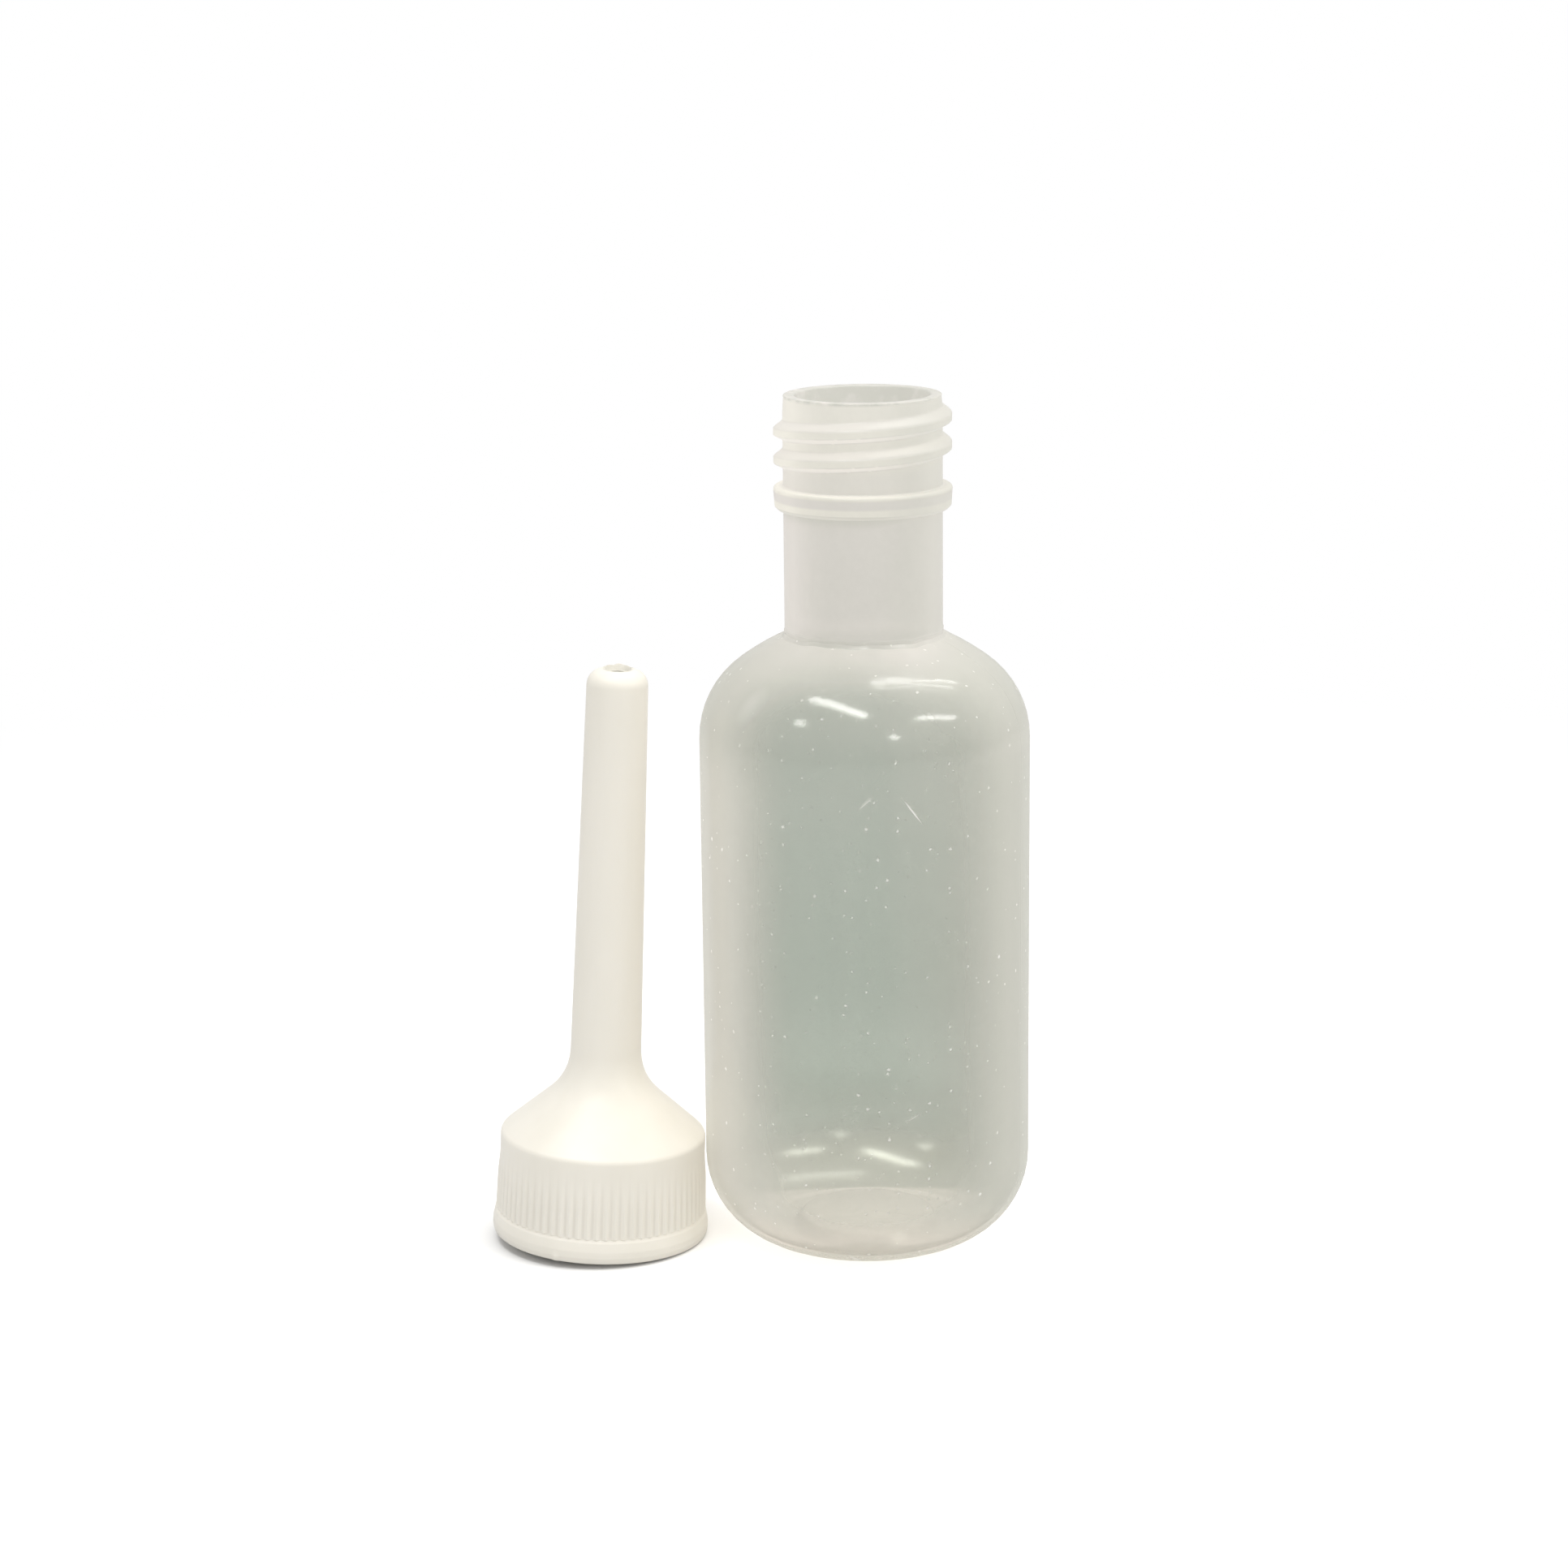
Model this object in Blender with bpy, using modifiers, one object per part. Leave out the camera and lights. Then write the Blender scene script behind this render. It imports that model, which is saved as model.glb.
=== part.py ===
"""A small squeeze bottle for an enema, with its nozzle cap screwed off and leaning against its side.

The blow-moulded bottle stands on +Z. The cap is turned in a frame of its own, foot down, and then
leaned towards the bottle. Metres throughout.
"""

import math

import bmesh
import bpy

# The whole piece
SIDES = 48
ARC_STEP = math.radians(18)
SEAM_MERGE = 0.000001
BURIED = 0.0004
OVERRUN = 0.0005

# The bottle's body
BOTTLE_HEIGHT = 0.09851
BODY_RADIUS = 0.0188
BODY_WALL = 0.0008
SHOULDER_SLOPE = math.radians(30.6)
SHOULDER_FILLET = 0.0104
HEEL_FILLET = 0.0102
BASE_RING_WIDTH = 0.0007
PUSH_UP_HEIGHT = 0.0016
PUSH_UP_EDGE = 0.0011
PUSH_UP_FILLET = 0.0005

# The bottle's neck
NECK_RADIUS = 0.00895
NECK_HEIGHT = 0.027
NECK_FILLET = 0.0005
NECK_BORE_RADIUS = 0.0076
RIM_RADIUS = 0.00883
RIM_CHAMFER = 0.00025
RIM_FILLET = 0.00025
COLLAR_RADIUS = 0.01008
COLLAR_DROP = 0.01018
COLLAR_DEPTH = 0.0026
COLLAR_DRAFT = 0.00015
COLLAR_CHAMFER = 0.00035
COLLAR_FILLET = 0.0004

# The thread of neck and cap
THREAD_PITCH = 0.003175
THREAD_DEPTH = 0.00105
THREAD_CREST_WIDTH = 0.00075
THREAD_UPPER_FLANK = 0.00095
THREAD_LOWER_FLANK = 0.0006
THREAD_DROP = 0.00204
THREAD_TURNS = 1.78
THREAD_END_ANGLE = math.radians(50)
THREAD_FADE_ANGLE = math.radians(35)
THREAD_END_SHARE = 0.2
THREAD_CLEARANCE = 0.00035
CAP_THREAD_TURNS = 1.25

# The sealing washer
WASHER_THICKNESS = 0.001
WASHER_LAP = 0.0006
SEAT_GAP = 0.0003

# The nozzle cap
CAP_HEIGHT = 0.067
SKIRT_WALL = 0.00158
SKIRT_DRAFT = 0.00034
SKIRT_EDGE_FILLET = 0.0009
FOOT_CLEARANCE = 0.00064
LAND_COVER = 0.00123
BEAD_HEIGHT = 0.0029
BEAD_REACH = 0.00067
BEAD_FILLET = 0.0003
CONE_SLOPE = math.radians(41)
CONE_WALL = 0.0015
CONE_CAVITY_RADIUS = 0.0076
FLARE_FILLET = 0.007
FLARE_CAVITY_FILLET = 0.004
NOZZLE_ROOT_RADIUS = 0.00415
NOZZLE_TIP_RADIUS = 0.00348
NOZZLE_WALL = 0.0013
TIP_FILLET = 0.0019
TIP_WALL = 0.0016
TIP_RECESS_RADIUS = 0.00155
TIP_RECESS_DEPTH = 0.00035
TIP_ORIFICE_RADIUS = 0.0008

# The grip ribs of the skirt
RIB_COUNT = 72
RIB_HEIGHT = 0.00018
RIB_CREST_WIDTH = 0.0003
RIB_FADE_DROP = 0.0022

# How the cap leans on the bottle
CAP_LEAN = math.radians(3.0)
LEAN_GAP = 0.00008

# Heights and radii that follow from the sizes above
NECK_FOOT = BOTTLE_HEIGHT - NECK_HEIGHT
SOCKET_RADIUS = NECK_RADIUS + THREAD_DEPTH + THREAD_CLEARANCE
SKIRT_RADIUS = SOCKET_RADIUS + SKIRT_WALL + SKIRT_DRAFT
SKIRT_TOP_RADIUS = SKIRT_RADIUS - SKIRT_DRAFT
WASHER_FACE = COLLAR_DROP - FOOT_CLEARANCE
LAND_HEIGHT = WASHER_FACE + WASHER_THICKNESS + SEAT_GAP
SKIRT_HEIGHT = LAND_HEIGHT + LAND_COVER


def arc_between(corner, fillet, before, after):
    """The points of a fillet of this radius at corner, between the directions to its neighbours."""
    turn = math.acos(max(-1.0, min(1.0, before[0] * after[0] + before[1] * after[1])))
    tangent = fillet / math.tan(turn / 2)
    start = (corner[0] + before[0] * tangent, corner[1] + before[1] * tangent)
    end = (corner[0] + after[0] * tangent, corner[1] + after[1] * tangent)
    middle = (before[0] + after[0], before[1] + after[1])
    reach = fillet / math.sin(turn / 2) / math.hypot(*middle)
    centre = (corner[0] + middle[0] * reach, corner[1] + middle[1] * reach)
    first = math.atan2(start[1] - centre[1], start[0] - centre[0])
    swept = math.atan2(end[1] - centre[1], end[0] - centre[0]) - first
    swept = (swept + math.pi) % math.tau - math.pi
    steps = max(2, math.ceil(abs(swept) / ARC_STEP))
    angles = [first + swept * i / steps for i in range(steps + 1)]
    return [(centre[0] + fillet * math.cos(a), centre[1] + fillet * math.sin(a)) for a in angles]


def rounded(corners):
    """An outline through (radius, height, fillet) corners, each fillet limited by the straight beside it."""
    points = []
    for i, (radius, height, fillet) in enumerate(corners):
        if not fillet:
            points.append((radius, height))
            continue
        rays = []
        for j in (i - 1, (i + 1) % len(corners)):
            away = (corners[j][0] - radius, corners[j][1] - height)
            length = math.hypot(*away)
            rays.append((away[0] / length, away[1] / length, length, corners[j][2]))
        turn = math.acos(rays[0][0] * rays[1][0] + rays[0][1] * rays[1][1])
        room = min(length * fillet / (fillet + other) for _, _, length, other in rays)
        radius_used = min(fillet, room * math.tan(turn / 2))
        points += arc_between((radius, height), radius_used, rays[0][:2], rays[1][:2])
    return points


def radius_at(outline, height):
    """The widest radius of an outline at a height, and zero past its ends."""
    found = [0.0]
    for (r0, z0), (r1, z1) in zip(outline, outline[1:]):
        if min(z0, z1) <= height <= max(z0, z1) and z0 != z1:
            found.append(r0 + (r1 - r0) * (height - z0) / (z1 - z0))
    return max(found)


def bottle_outside():
    """The bottle's outer outline, from the rim down to the middle of the base."""
    collar_top = BOTTLE_HEIGHT - COLLAR_DROP
    collar_foot = collar_top - COLLAR_DEPTH
    collar_foot_radius = COLLAR_RADIUS - COLLAR_DRAFT
    shoulder_fall = (BODY_RADIUS - NECK_RADIUS) * math.tan(SHOULDER_SLOPE)
    ring_inner = BODY_RADIUS - HEEL_FILLET - BASE_RING_WIDTH
    return rounded([
        (NECK_BORE_RADIUS, BOTTLE_HEIGHT - RIM_FILLET, 0),
        (NECK_BORE_RADIUS + RIM_FILLET, BOTTLE_HEIGHT, 0),
        (RIM_RADIUS - RIM_CHAMFER / 2, BOTTLE_HEIGHT, 0),
        (RIM_RADIUS, BOTTLE_HEIGHT - RIM_CHAMFER, RIM_FILLET),
        (NECK_RADIUS, BOTTLE_HEIGHT - THREAD_DROP, 0),
        (NECK_RADIUS, collar_top, 0),
        (COLLAR_RADIUS, collar_top, COLLAR_FILLET),
        (collar_foot_radius, collar_foot + COLLAR_CHAMFER, 0),
        (collar_foot_radius - COLLAR_CHAMFER, collar_foot, 0),
        (NECK_RADIUS, collar_foot, 0),
        (NECK_RADIUS, NECK_FOOT, NECK_FILLET),
        (BODY_RADIUS, NECK_FOOT - shoulder_fall, SHOULDER_FILLET),
        (BODY_RADIUS, 0, HEEL_FILLET),
        (ring_inner, 0, 0),
        (ring_inner - PUSH_UP_EDGE, PUSH_UP_HEIGHT, PUSH_UP_FILLET),
        (0, PUSH_UP_HEIGHT, 0),
    ])


def bottle_inside():
    """The bottle's inner outline, from the middle of its floor up to the rim."""
    inner_radius = BODY_RADIUS - BODY_WALL
    slope_wall = BODY_WALL / math.cos(SHOULDER_SLOPE)
    fall = (inner_radius - NECK_BORE_RADIUS) * math.tan(SHOULDER_SLOPE)
    outer_rise = (NECK_RADIUS - NECK_BORE_RADIUS) * math.tan(SHOULDER_SLOPE)
    bore_foot = NECK_FOOT + outer_rise - slope_wall
    dome = BODY_RADIUS - HEEL_FILLET - BASE_RING_WIDTH - PUSH_UP_EDGE + BODY_WALL
    return rounded([
        (0, PUSH_UP_HEIGHT + BODY_WALL, 0),
        (dome, PUSH_UP_HEIGHT + BODY_WALL, PUSH_UP_FILLET),
        (dome + PUSH_UP_EDGE, BODY_WALL, 0),
        (inner_radius, BODY_WALL, HEEL_FILLET - BODY_WALL),
        (inner_radius, bore_foot - fall, SHOULDER_FILLET - BODY_WALL),
        (NECK_BORE_RADIUS, bore_foot, NECK_FILLET),
        (NECK_BORE_RADIUS, BOTTLE_HEIGHT - RIM_FILLET, 0),
    ])


def cap_outside():
    """The cap's outer outline without its ribs, from the tip's recess down to the socket's mouth."""
    nozzle_root = SKIRT_HEIGHT + (SKIRT_TOP_RADIUS - NOZZLE_ROOT_RADIUS) * math.tan(CONE_SLOPE)
    bead_radius = SKIRT_RADIUS + BEAD_REACH / 2
    valley = SKIRT_RADIUS - RIB_HEIGHT
    return rounded([
        (TIP_ORIFICE_RADIUS, CAP_HEIGHT - TIP_RECESS_DEPTH, 0),
        (TIP_RECESS_RADIUS - TIP_RECESS_DEPTH, CAP_HEIGHT - TIP_RECESS_DEPTH, 0),
        (TIP_RECESS_RADIUS, CAP_HEIGHT, 0),
        (NOZZLE_TIP_RADIUS, CAP_HEIGHT, TIP_FILLET),
        (NOZZLE_ROOT_RADIUS, nozzle_root, FLARE_FILLET),
        (SKIRT_TOP_RADIUS, SKIRT_HEIGHT, SKIRT_EDGE_FILLET),
        (SKIRT_TOP_RADIUS, SKIRT_HEIGHT - RIB_FADE_DROP, 0),
        (valley, BEAD_HEIGHT, 0),
        (bead_radius, BEAD_HEIGHT - BEAD_FILLET, BEAD_FILLET),
        (SKIRT_RADIUS + BEAD_REACH / 2, BEAD_HEIGHT / 2, BEAD_HEIGHT),
        (SKIRT_RADIUS + BEAD_REACH / 4, 0, BEAD_FILLET),
        (SOCKET_RADIUS + OVERRUN, 0, 0),
    ])


def cap_inside():
    """The cap's inner outline, from the socket's mouth up through the land to the orifice."""
    wall_drop = CONE_WALL / math.cos(CONE_SLOPE)
    bore_root = NOZZLE_ROOT_RADIUS - NOZZLE_WALL
    bore_tip = NOZZLE_TIP_RADIUS - NOZZLE_WALL
    rise = math.tan(CONE_SLOPE)
    cone_foot = SKIRT_HEIGHT - wall_drop + (SKIRT_TOP_RADIUS - CONE_CAVITY_RADIUS) * rise
    cone_top = SKIRT_HEIGHT - wall_drop + (SKIRT_TOP_RADIUS - bore_root) * rise
    return rounded([
        (SOCKET_RADIUS, OVERRUN, 0),
        (SOCKET_RADIUS, LAND_HEIGHT, 0),
        (CONE_CAVITY_RADIUS, LAND_HEIGHT, 0),
        (CONE_CAVITY_RADIUS, cone_foot, 0),
        (bore_root, cone_top, FLARE_CAVITY_FILLET),
        (bore_tip, CAP_HEIGHT - TIP_WALL, 0),
        (TIP_ORIFICE_RADIUS, CAP_HEIGHT - TIP_WALL, 0),
    ])


def lean_reach(outline, side):
    """How far a leaned outline reaches sideways from its foot's middle: side 1 is towards the bottle."""
    return max(r * math.cos(CAP_LEAN) + side * z * math.sin(CAP_LEAN) for r, z in outline)


def foot_rise(outline):
    """How high the leaned cap's foot middle lies when the lowest point of its foot is on the ground."""
    return max(r * math.sin(CAP_LEAN) - z * math.cos(CAP_LEAN) for r, z in outline)


def standoff(cap_outline, bottle_outline):
    """The distance from the bottle's axis to the foot of the cap's, with the cap leaning on the wall."""
    rise = foot_rise(cap_outline)
    needs = []
    for r, z in cap_outline:
        height = rise + z * math.cos(CAP_LEAN) - r * math.sin(CAP_LEAN)
        reach = r * math.cos(CAP_LEAN) + z * math.sin(CAP_LEAN)
        needs.append(reach + radius_at(bottle_outline, height))
    return max(needs) + LEAN_GAP


def new_collection(name):
    """A collection linked to the scene."""
    made = bpy.data.collections.new(name)
    bpy.context.scene.collection.children.link(made)
    return made


def plastic(name, colour, roughness, alpha=1.0):
    """A Principled material for one kind of moulded plastic."""
    made = bpy.data.materials.new(name)
    made.use_nodes = True
    shader = made.node_tree.nodes["Principled BSDF"]
    shader.inputs["Base Color"].default_value = (*colour, 1.0)
    shader.inputs["Roughness"].default_value = roughness
    shader.inputs["Metallic"].default_value = 0.0
    shader.inputs["Alpha"].default_value = alpha
    return made


def turned(name, outline, closed, material, collection):
    """A turned solid: an outline at +X, spun about Z. A closed outline leaves a bore."""
    mesh = bpy.data.meshes.new(name)
    count = len(outline)
    edges = [(i, (i + 1) % count) for i in range(count if closed else count - 1)]
    mesh.from_pydata([(r, 0, z) for r, z in outline], edges, [])
    mesh.materials.append(material)
    obj = bpy.data.objects.new(name, mesh)
    collection.objects.link(obj)
    screw = obj.modifiers.new("turn", "SCREW")
    screw.axis = "Z"
    screw.angle = math.tau
    screw.steps = screw.render_steps = SIDES
    screw.use_merge_vertices = True
    screw.merge_threshold = SEAM_MERGE
    screw.use_smooth_shade = True
    return obj


def as_solid(curve_object, collection):
    """The welded mesh of a curve, in its place, as a helper that is joined to another piece."""
    bpy.context.view_layer.update()
    graph = bpy.context.evaluated_depsgraph_get()
    mesh = bpy.data.meshes.new_from_object(curve_object.evaluated_get(graph))
    name = curve_object.name
    place = curve_object.matrix_world.copy()
    bpy.data.objects.remove(curve_object)
    shape = bmesh.new()
    shape.from_mesh(mesh)
    bmesh.ops.remove_doubles(shape, verts=shape.verts, dist=SEAM_MERGE)
    bmesh.ops.recalc_face_normals(shape, faces=shape.faces)
    shape.to_mesh(mesh)
    shape.free()
    solid = bpy.data.objects.new(name, mesh)
    solid.matrix_world = place
    solid.hide_render = True
    solid.display_type = "WIRE"
    collection.objects.link(solid)
    return solid


def flat_curve(name, loops, collection):
    """A flat curve object of closed loops of (x, y) points."""
    curve = bpy.data.curves.new(name, "CURVE")
    curve.dimensions = "2D"
    for loop in loops:
        spline = curve.splines.new("POLY")
        spline.points.add(len(loop) - 1)
        for point, (x, y) in zip(spline.points, loop):
            point.co = (x, y, 0, 1)
        spline.use_cyclic_u = True
    obj = bpy.data.objects.new(name, curve)
    collection.objects.link(obj)
    return obj


def thread_profile(inwards):
    """The thread's section as (outward, upward) points, with its root buried in the wall."""
    side = -1 if inwards else 1
    lower, upper = THREAD_LOWER_FLANK, THREAD_UPPER_FLANK
    if inwards:
        lower, upper = upper, lower
    crest = THREAD_CREST_WIDTH / 2
    spread = 1 + BURIED / THREAD_DEPTH
    return [
        (-side * BURIED, -crest - lower * spread),
        (side * THREAD_DEPTH, -crest),
        (side * THREAD_DEPTH, crest),
        (-side * BURIED, crest + upper * spread),
    ]


def thread(name, radius, top_height, end_angle, turns, inwards, collection):
    """A right-hand thread ridge on a wall of this radius. It fades out at both ends."""
    section = flat_curve(name + "_section", [thread_profile(inwards)], collection)
    curve = bpy.data.curves.new(name, "CURVE")
    curve.dimensions = "3D"
    curve.twist_mode = "Z_UP"
    curve.bevel_mode = "OBJECT"
    curve.bevel_object = section
    curve.use_fill_caps = True
    spline = curve.splines.new("POLY")
    facet = math.tau / SIDES
    steps = round(turns * SIDES)
    swept = steps * facet
    end_angle = round(end_angle / facet) * facet
    spline.points.add(steps)
    for i, point in enumerate(spline.points):
        back = swept * (1 - i / steps)
        angle = end_angle - back
        height = top_height - THREAD_PITCH * back / math.tau
        point.co = (radius * math.cos(angle), radius * math.sin(angle), height, 1)
        fade = min(1.0, min(back, swept - back) / THREAD_FADE_ANGLE)
        point.radius = THREAD_END_SHARE + (1 - THREAD_END_SHARE) * fade
    ridge = bpy.data.objects.new(name, curve)
    collection.objects.link(ridge)
    solid = as_solid(ridge, collection)
    bpy.data.objects.remove(section)
    return solid


def rib_ring(name, collection):
    """The skirt's grip ribs as one fluted ring that tapers with the skirt and sinks into it at its top."""
    crest = RIB_CREST_WIDTH / SKIRT_RADIUS / 2
    pitch = math.tau / RIB_COUNT
    outer = []
    for i in range(RIB_COUNT):
        middle = i * pitch
        for angle, radius in (
            (middle - crest, SKIRT_RADIUS),
            (middle + crest, SKIRT_RADIUS),
            (middle + pitch / 2, SKIRT_RADIUS - RIB_HEIGHT - BURIED),
        ):
            outer.append((radius * math.cos(angle), radius * math.sin(angle)))
    inner_radius = SOCKET_RADIUS + SKIRT_WALL / 2
    angles = [math.tau * i / SIDES for i in range(SIDES)]
    inner = [(inner_radius * math.cos(a), inner_radius * math.sin(a)) for a in angles]
    ring = flat_curve(name, [outer, inner], collection)
    foot = BEAD_HEIGHT - BURIED
    top = SKIRT_HEIGHT - RIB_FADE_DROP + OVERRUN
    ring.data.fill_mode = "BOTH"
    ring.data.extrude = (top - foot) / 2
    ring.location.z = (top + foot) / 2
    solid = as_solid(ring, collection)
    shrink = (SKIRT_TOP_RADIUS - RIB_HEIGHT / 2) / SKIRT_RADIUS
    for vertex in solid.data.vertices:
        if vertex.co.z > 0:
            vertex.co.x *= shrink
            vertex.co.y *= shrink
    return solid


def join(obj, other):
    """Adds another solid to this one."""
    boolean = obj.modifiers.new("join_" + other.name, "BOOLEAN")
    boolean.operation = "UNION"
    boolean.solver = "EXACT"
    boolean.object = other


def build_bottle(place_x, collection, cutters):
    """The hollow bottle with its threaded neck."""
    material = plastic("natural_ldpe", (0.66, 0.69, 0.64), 0.38, 0.8)
    outline = bottle_inside() + bottle_outside()[1:]
    bottle = turned("bottle", outline, False, material, collection)
    bottle.location.x = place_x
    crest_top = BOTTLE_HEIGHT - THREAD_DROP
    ridge = thread("neck_thread", NECK_RADIUS, crest_top, THREAD_END_ANGLE, THREAD_TURNS, False, cutters)
    ridge.location.x = place_x
    join(bottle, ridge)
    return bottle


def build_cap(axis, collection, cutters):
    """The nozzle cap with its grip ribs, and the thread in its socket."""
    material = plastic("white_pe", (0.86, 0.84, 0.78), 0.34)
    cap = turned("nozzle_cap", cap_outside() + cap_inside(), True, material, collection)
    thread_top = WASHER_FACE - THREAD_PITCH - SEAT_GAP
    ridge = thread("cap_thread", SOCKET_RADIUS, thread_top, 0, CAP_THREAD_TURNS, True, cutters)
    ribs = rib_ring("grip_ribs", cutters)
    for helper in (ridge, ribs):
        helper.parent = axis
        join(cap, helper)
    cap.parent = axis
    return cap


def build_washer(axis, collection):
    """The flat sealing ring between the bottle's rim and the cap's land."""
    material = plastic("washer_foam", (0.8, 0.8, 0.78), 0.6)
    outer = SOCKET_RADIUS - SEAT_GAP
    inner = NECK_BORE_RADIUS - WASHER_LAP
    top = WASHER_FACE + WASHER_THICKNESS
    outline = [(inner, top), (outer, top), (outer, WASHER_FACE), (inner, WASHER_FACE)]
    washer = turned("sealing_washer", outline, True, material, collection)
    washer.parent = axis
    return washer


def cap_axis(place_x, rise, collection):
    """The empty on the cap's axis, at the middle of its foot, leaned towards the bottle."""
    axis = bpy.data.objects.new("cap_axis", None)
    collection.objects.link(axis)
    axis.location = (place_x, 0, rise)
    axis.rotation_euler.y = CAP_LEAN
    return axis


def main():
    """Builds the bottle, the cap beside it and the washer inside the cap."""
    for obj in list(bpy.data.objects):
        bpy.data.objects.remove(obj)
    parts = new_collection("enema_bottle")
    cutters = new_collection("cutters")
    cap_outline = cap_outside()
    distance = standoff(cap_outline, bottle_outside())
    width_left = distance + lean_reach(cap_outline, -1)
    bottle_x = (width_left - BODY_RADIUS) / 2
    build_bottle(bottle_x, parts, cutters)
    axis = cap_axis(bottle_x - distance, foot_rise(cap_outline), parts)
    build_cap(axis, parts, cutters)
    build_washer(axis, parts)
    bpy.context.view_layer.update()
    print("bottle axis x", round(bottle_x, 6), "cap foot x", round(bottle_x - distance, 6))
    print("cap foot z", round(foot_rise(cap_outline), 6))


main()
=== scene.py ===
"""A small squeeze bottle for an enema and its loose nozzle cap, dressed for a plain studio picture.

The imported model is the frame, in metres with +Z up. Each moulding is one turned skin with its real wall, and its
thread, ribs and torn tip are raised out of that skin. Finishes take their patterns from sizes in millimetres.
"""

import logging
import math
from dataclasses import dataclass
from enum import Enum
from typing import Any

import bmesh
import bpy
from mathutils import Matrix, Vector


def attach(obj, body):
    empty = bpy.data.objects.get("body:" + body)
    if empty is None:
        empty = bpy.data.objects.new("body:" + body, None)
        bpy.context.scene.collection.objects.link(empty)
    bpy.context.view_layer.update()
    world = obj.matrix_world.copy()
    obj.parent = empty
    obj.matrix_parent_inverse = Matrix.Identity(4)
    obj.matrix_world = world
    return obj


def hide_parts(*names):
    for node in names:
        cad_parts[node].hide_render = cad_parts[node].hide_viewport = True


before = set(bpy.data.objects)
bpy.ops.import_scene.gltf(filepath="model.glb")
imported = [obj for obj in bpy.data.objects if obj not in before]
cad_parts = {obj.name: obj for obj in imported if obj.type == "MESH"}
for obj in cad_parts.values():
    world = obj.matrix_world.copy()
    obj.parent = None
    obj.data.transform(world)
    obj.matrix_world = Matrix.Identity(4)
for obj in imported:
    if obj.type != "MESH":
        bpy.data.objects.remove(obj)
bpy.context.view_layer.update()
LOG = logging.getLogger("squeeze_bottle")
MM = 0.001


class Body(Enum):
    """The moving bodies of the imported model."""

    BOTTLE = "bottle"
    WASHER = "washer"
    CAP = "cap"


class Slot(Enum):
    """The record's material slots."""

    NATURAL = "natural_ldpe"
    WHITE = "white_pe"
    FOAM = "washer_foam"


class Side(Enum):
    """Which way a raised thread points from its wall."""

    OUTWARDS = 1
    INWARDS = -1


def linear(code: str) -> tuple[float, float, float, float]:
    """Turns an sRGB colour into linear light.

    Args:
        code: The colour as six hex digits.

    Returns:
        Red, green and blue, and an alpha of 1.
    """
    shares = [int(code[i:i + 2], 16) / 255 for i in (0, 2, 4)]
    light = [s / 12.92 if s <= 0.04045 else ((s + 0.055) / 1.055) ** 2.4 for s in shares]
    return (light[0], light[1], light[2], 1.0)


def eased(low: float, high: float, value: float) -> float:
    """A smooth step from 0 at low to 1 at high; low may be the larger of the two."""
    share = min(1.0, max(0.0, (value - low) / (high - low)))
    return share * share * (3 - 2 * share)


def add_node(
    tree: bpy.types.NodeTree,
    kind: str,
    settings: dict[str, Any] | None = None,
    values: dict[str | int, Any] | None = None,
    links: dict[str | int, bpy.types.NodeSocket] | None = None,
) -> bpy.types.Node:
    """Adds one node to a material.

    Args:
        tree: The node tree that gets the node.
        kind: The node's type.
        settings: Its properties by name.
        values: Constants for its inputs, by name or number.
        links: The outputs that feed its inputs, by name or number.

    Returns:
        The new node.
    """
    node = tree.nodes.new(kind)
    for name, value in (settings or {}).items():
        setattr(node, name, value)
    for key, value in (values or {}).items():
        node.inputs[key].default_value = value
    for key, source in (links or {}).items():
        tree.links.new(source, node.inputs[key])
    return node


def add_step(
    tree: bpy.types.NodeTree, value: bpy.types.NodeSocket, low: float, high: float, most: float = 1.0,
) -> bpy.types.NodeSocket:
    """Adds a smooth step to a material.

    Args:
        tree: The node tree that gets the node.
        value: What steers the step.
        low: The value at which the step is still 0.
        high: The value at which it is done.
        most: What it then gives.

    Returns:
        The step's output.
    """
    node = add_node(
        tree, "ShaderNodeMapRange", {"interpolation_type": "SMOOTHSTEP"},
        {"From Min": low, "From Max": high, "To Max": most}, {"Value": value},
    )
    return node.outputs["Result"]


def add_math(
    tree: bpy.types.NodeTree, operation: str, *terms: bpy.types.NodeSocket | float, clamp: bool = False,
) -> bpy.types.NodeSocket:
    """Adds a Math node whose terms are outputs or numbers, and returns its output."""
    node = add_node(tree, "ShaderNodeMath", {"operation": operation, "use_clamp": clamp})
    for number, term in enumerate(terms):
        if isinstance(term, bpy.types.NodeSocket):
            tree.links.new(term, node.inputs[number])
        else:
            node.inputs[number].default_value = term
    return node.outputs[0]


def empty_material(name: str) -> bpy.types.Material:
    """A material with no nodes yet."""
    made = bpy.data.materials.new(name)
    made.use_nodes = True
    made.node_tree.nodes.clear()
    return made


@dataclass(frozen=True)
class Corner:
    """A corner of a turned outline.

    The straight that ends here is cut into rows no longer than row.
    """

    radius: float
    height: float
    fillet: float = 0.0
    row: float = 6 * MM


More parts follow.
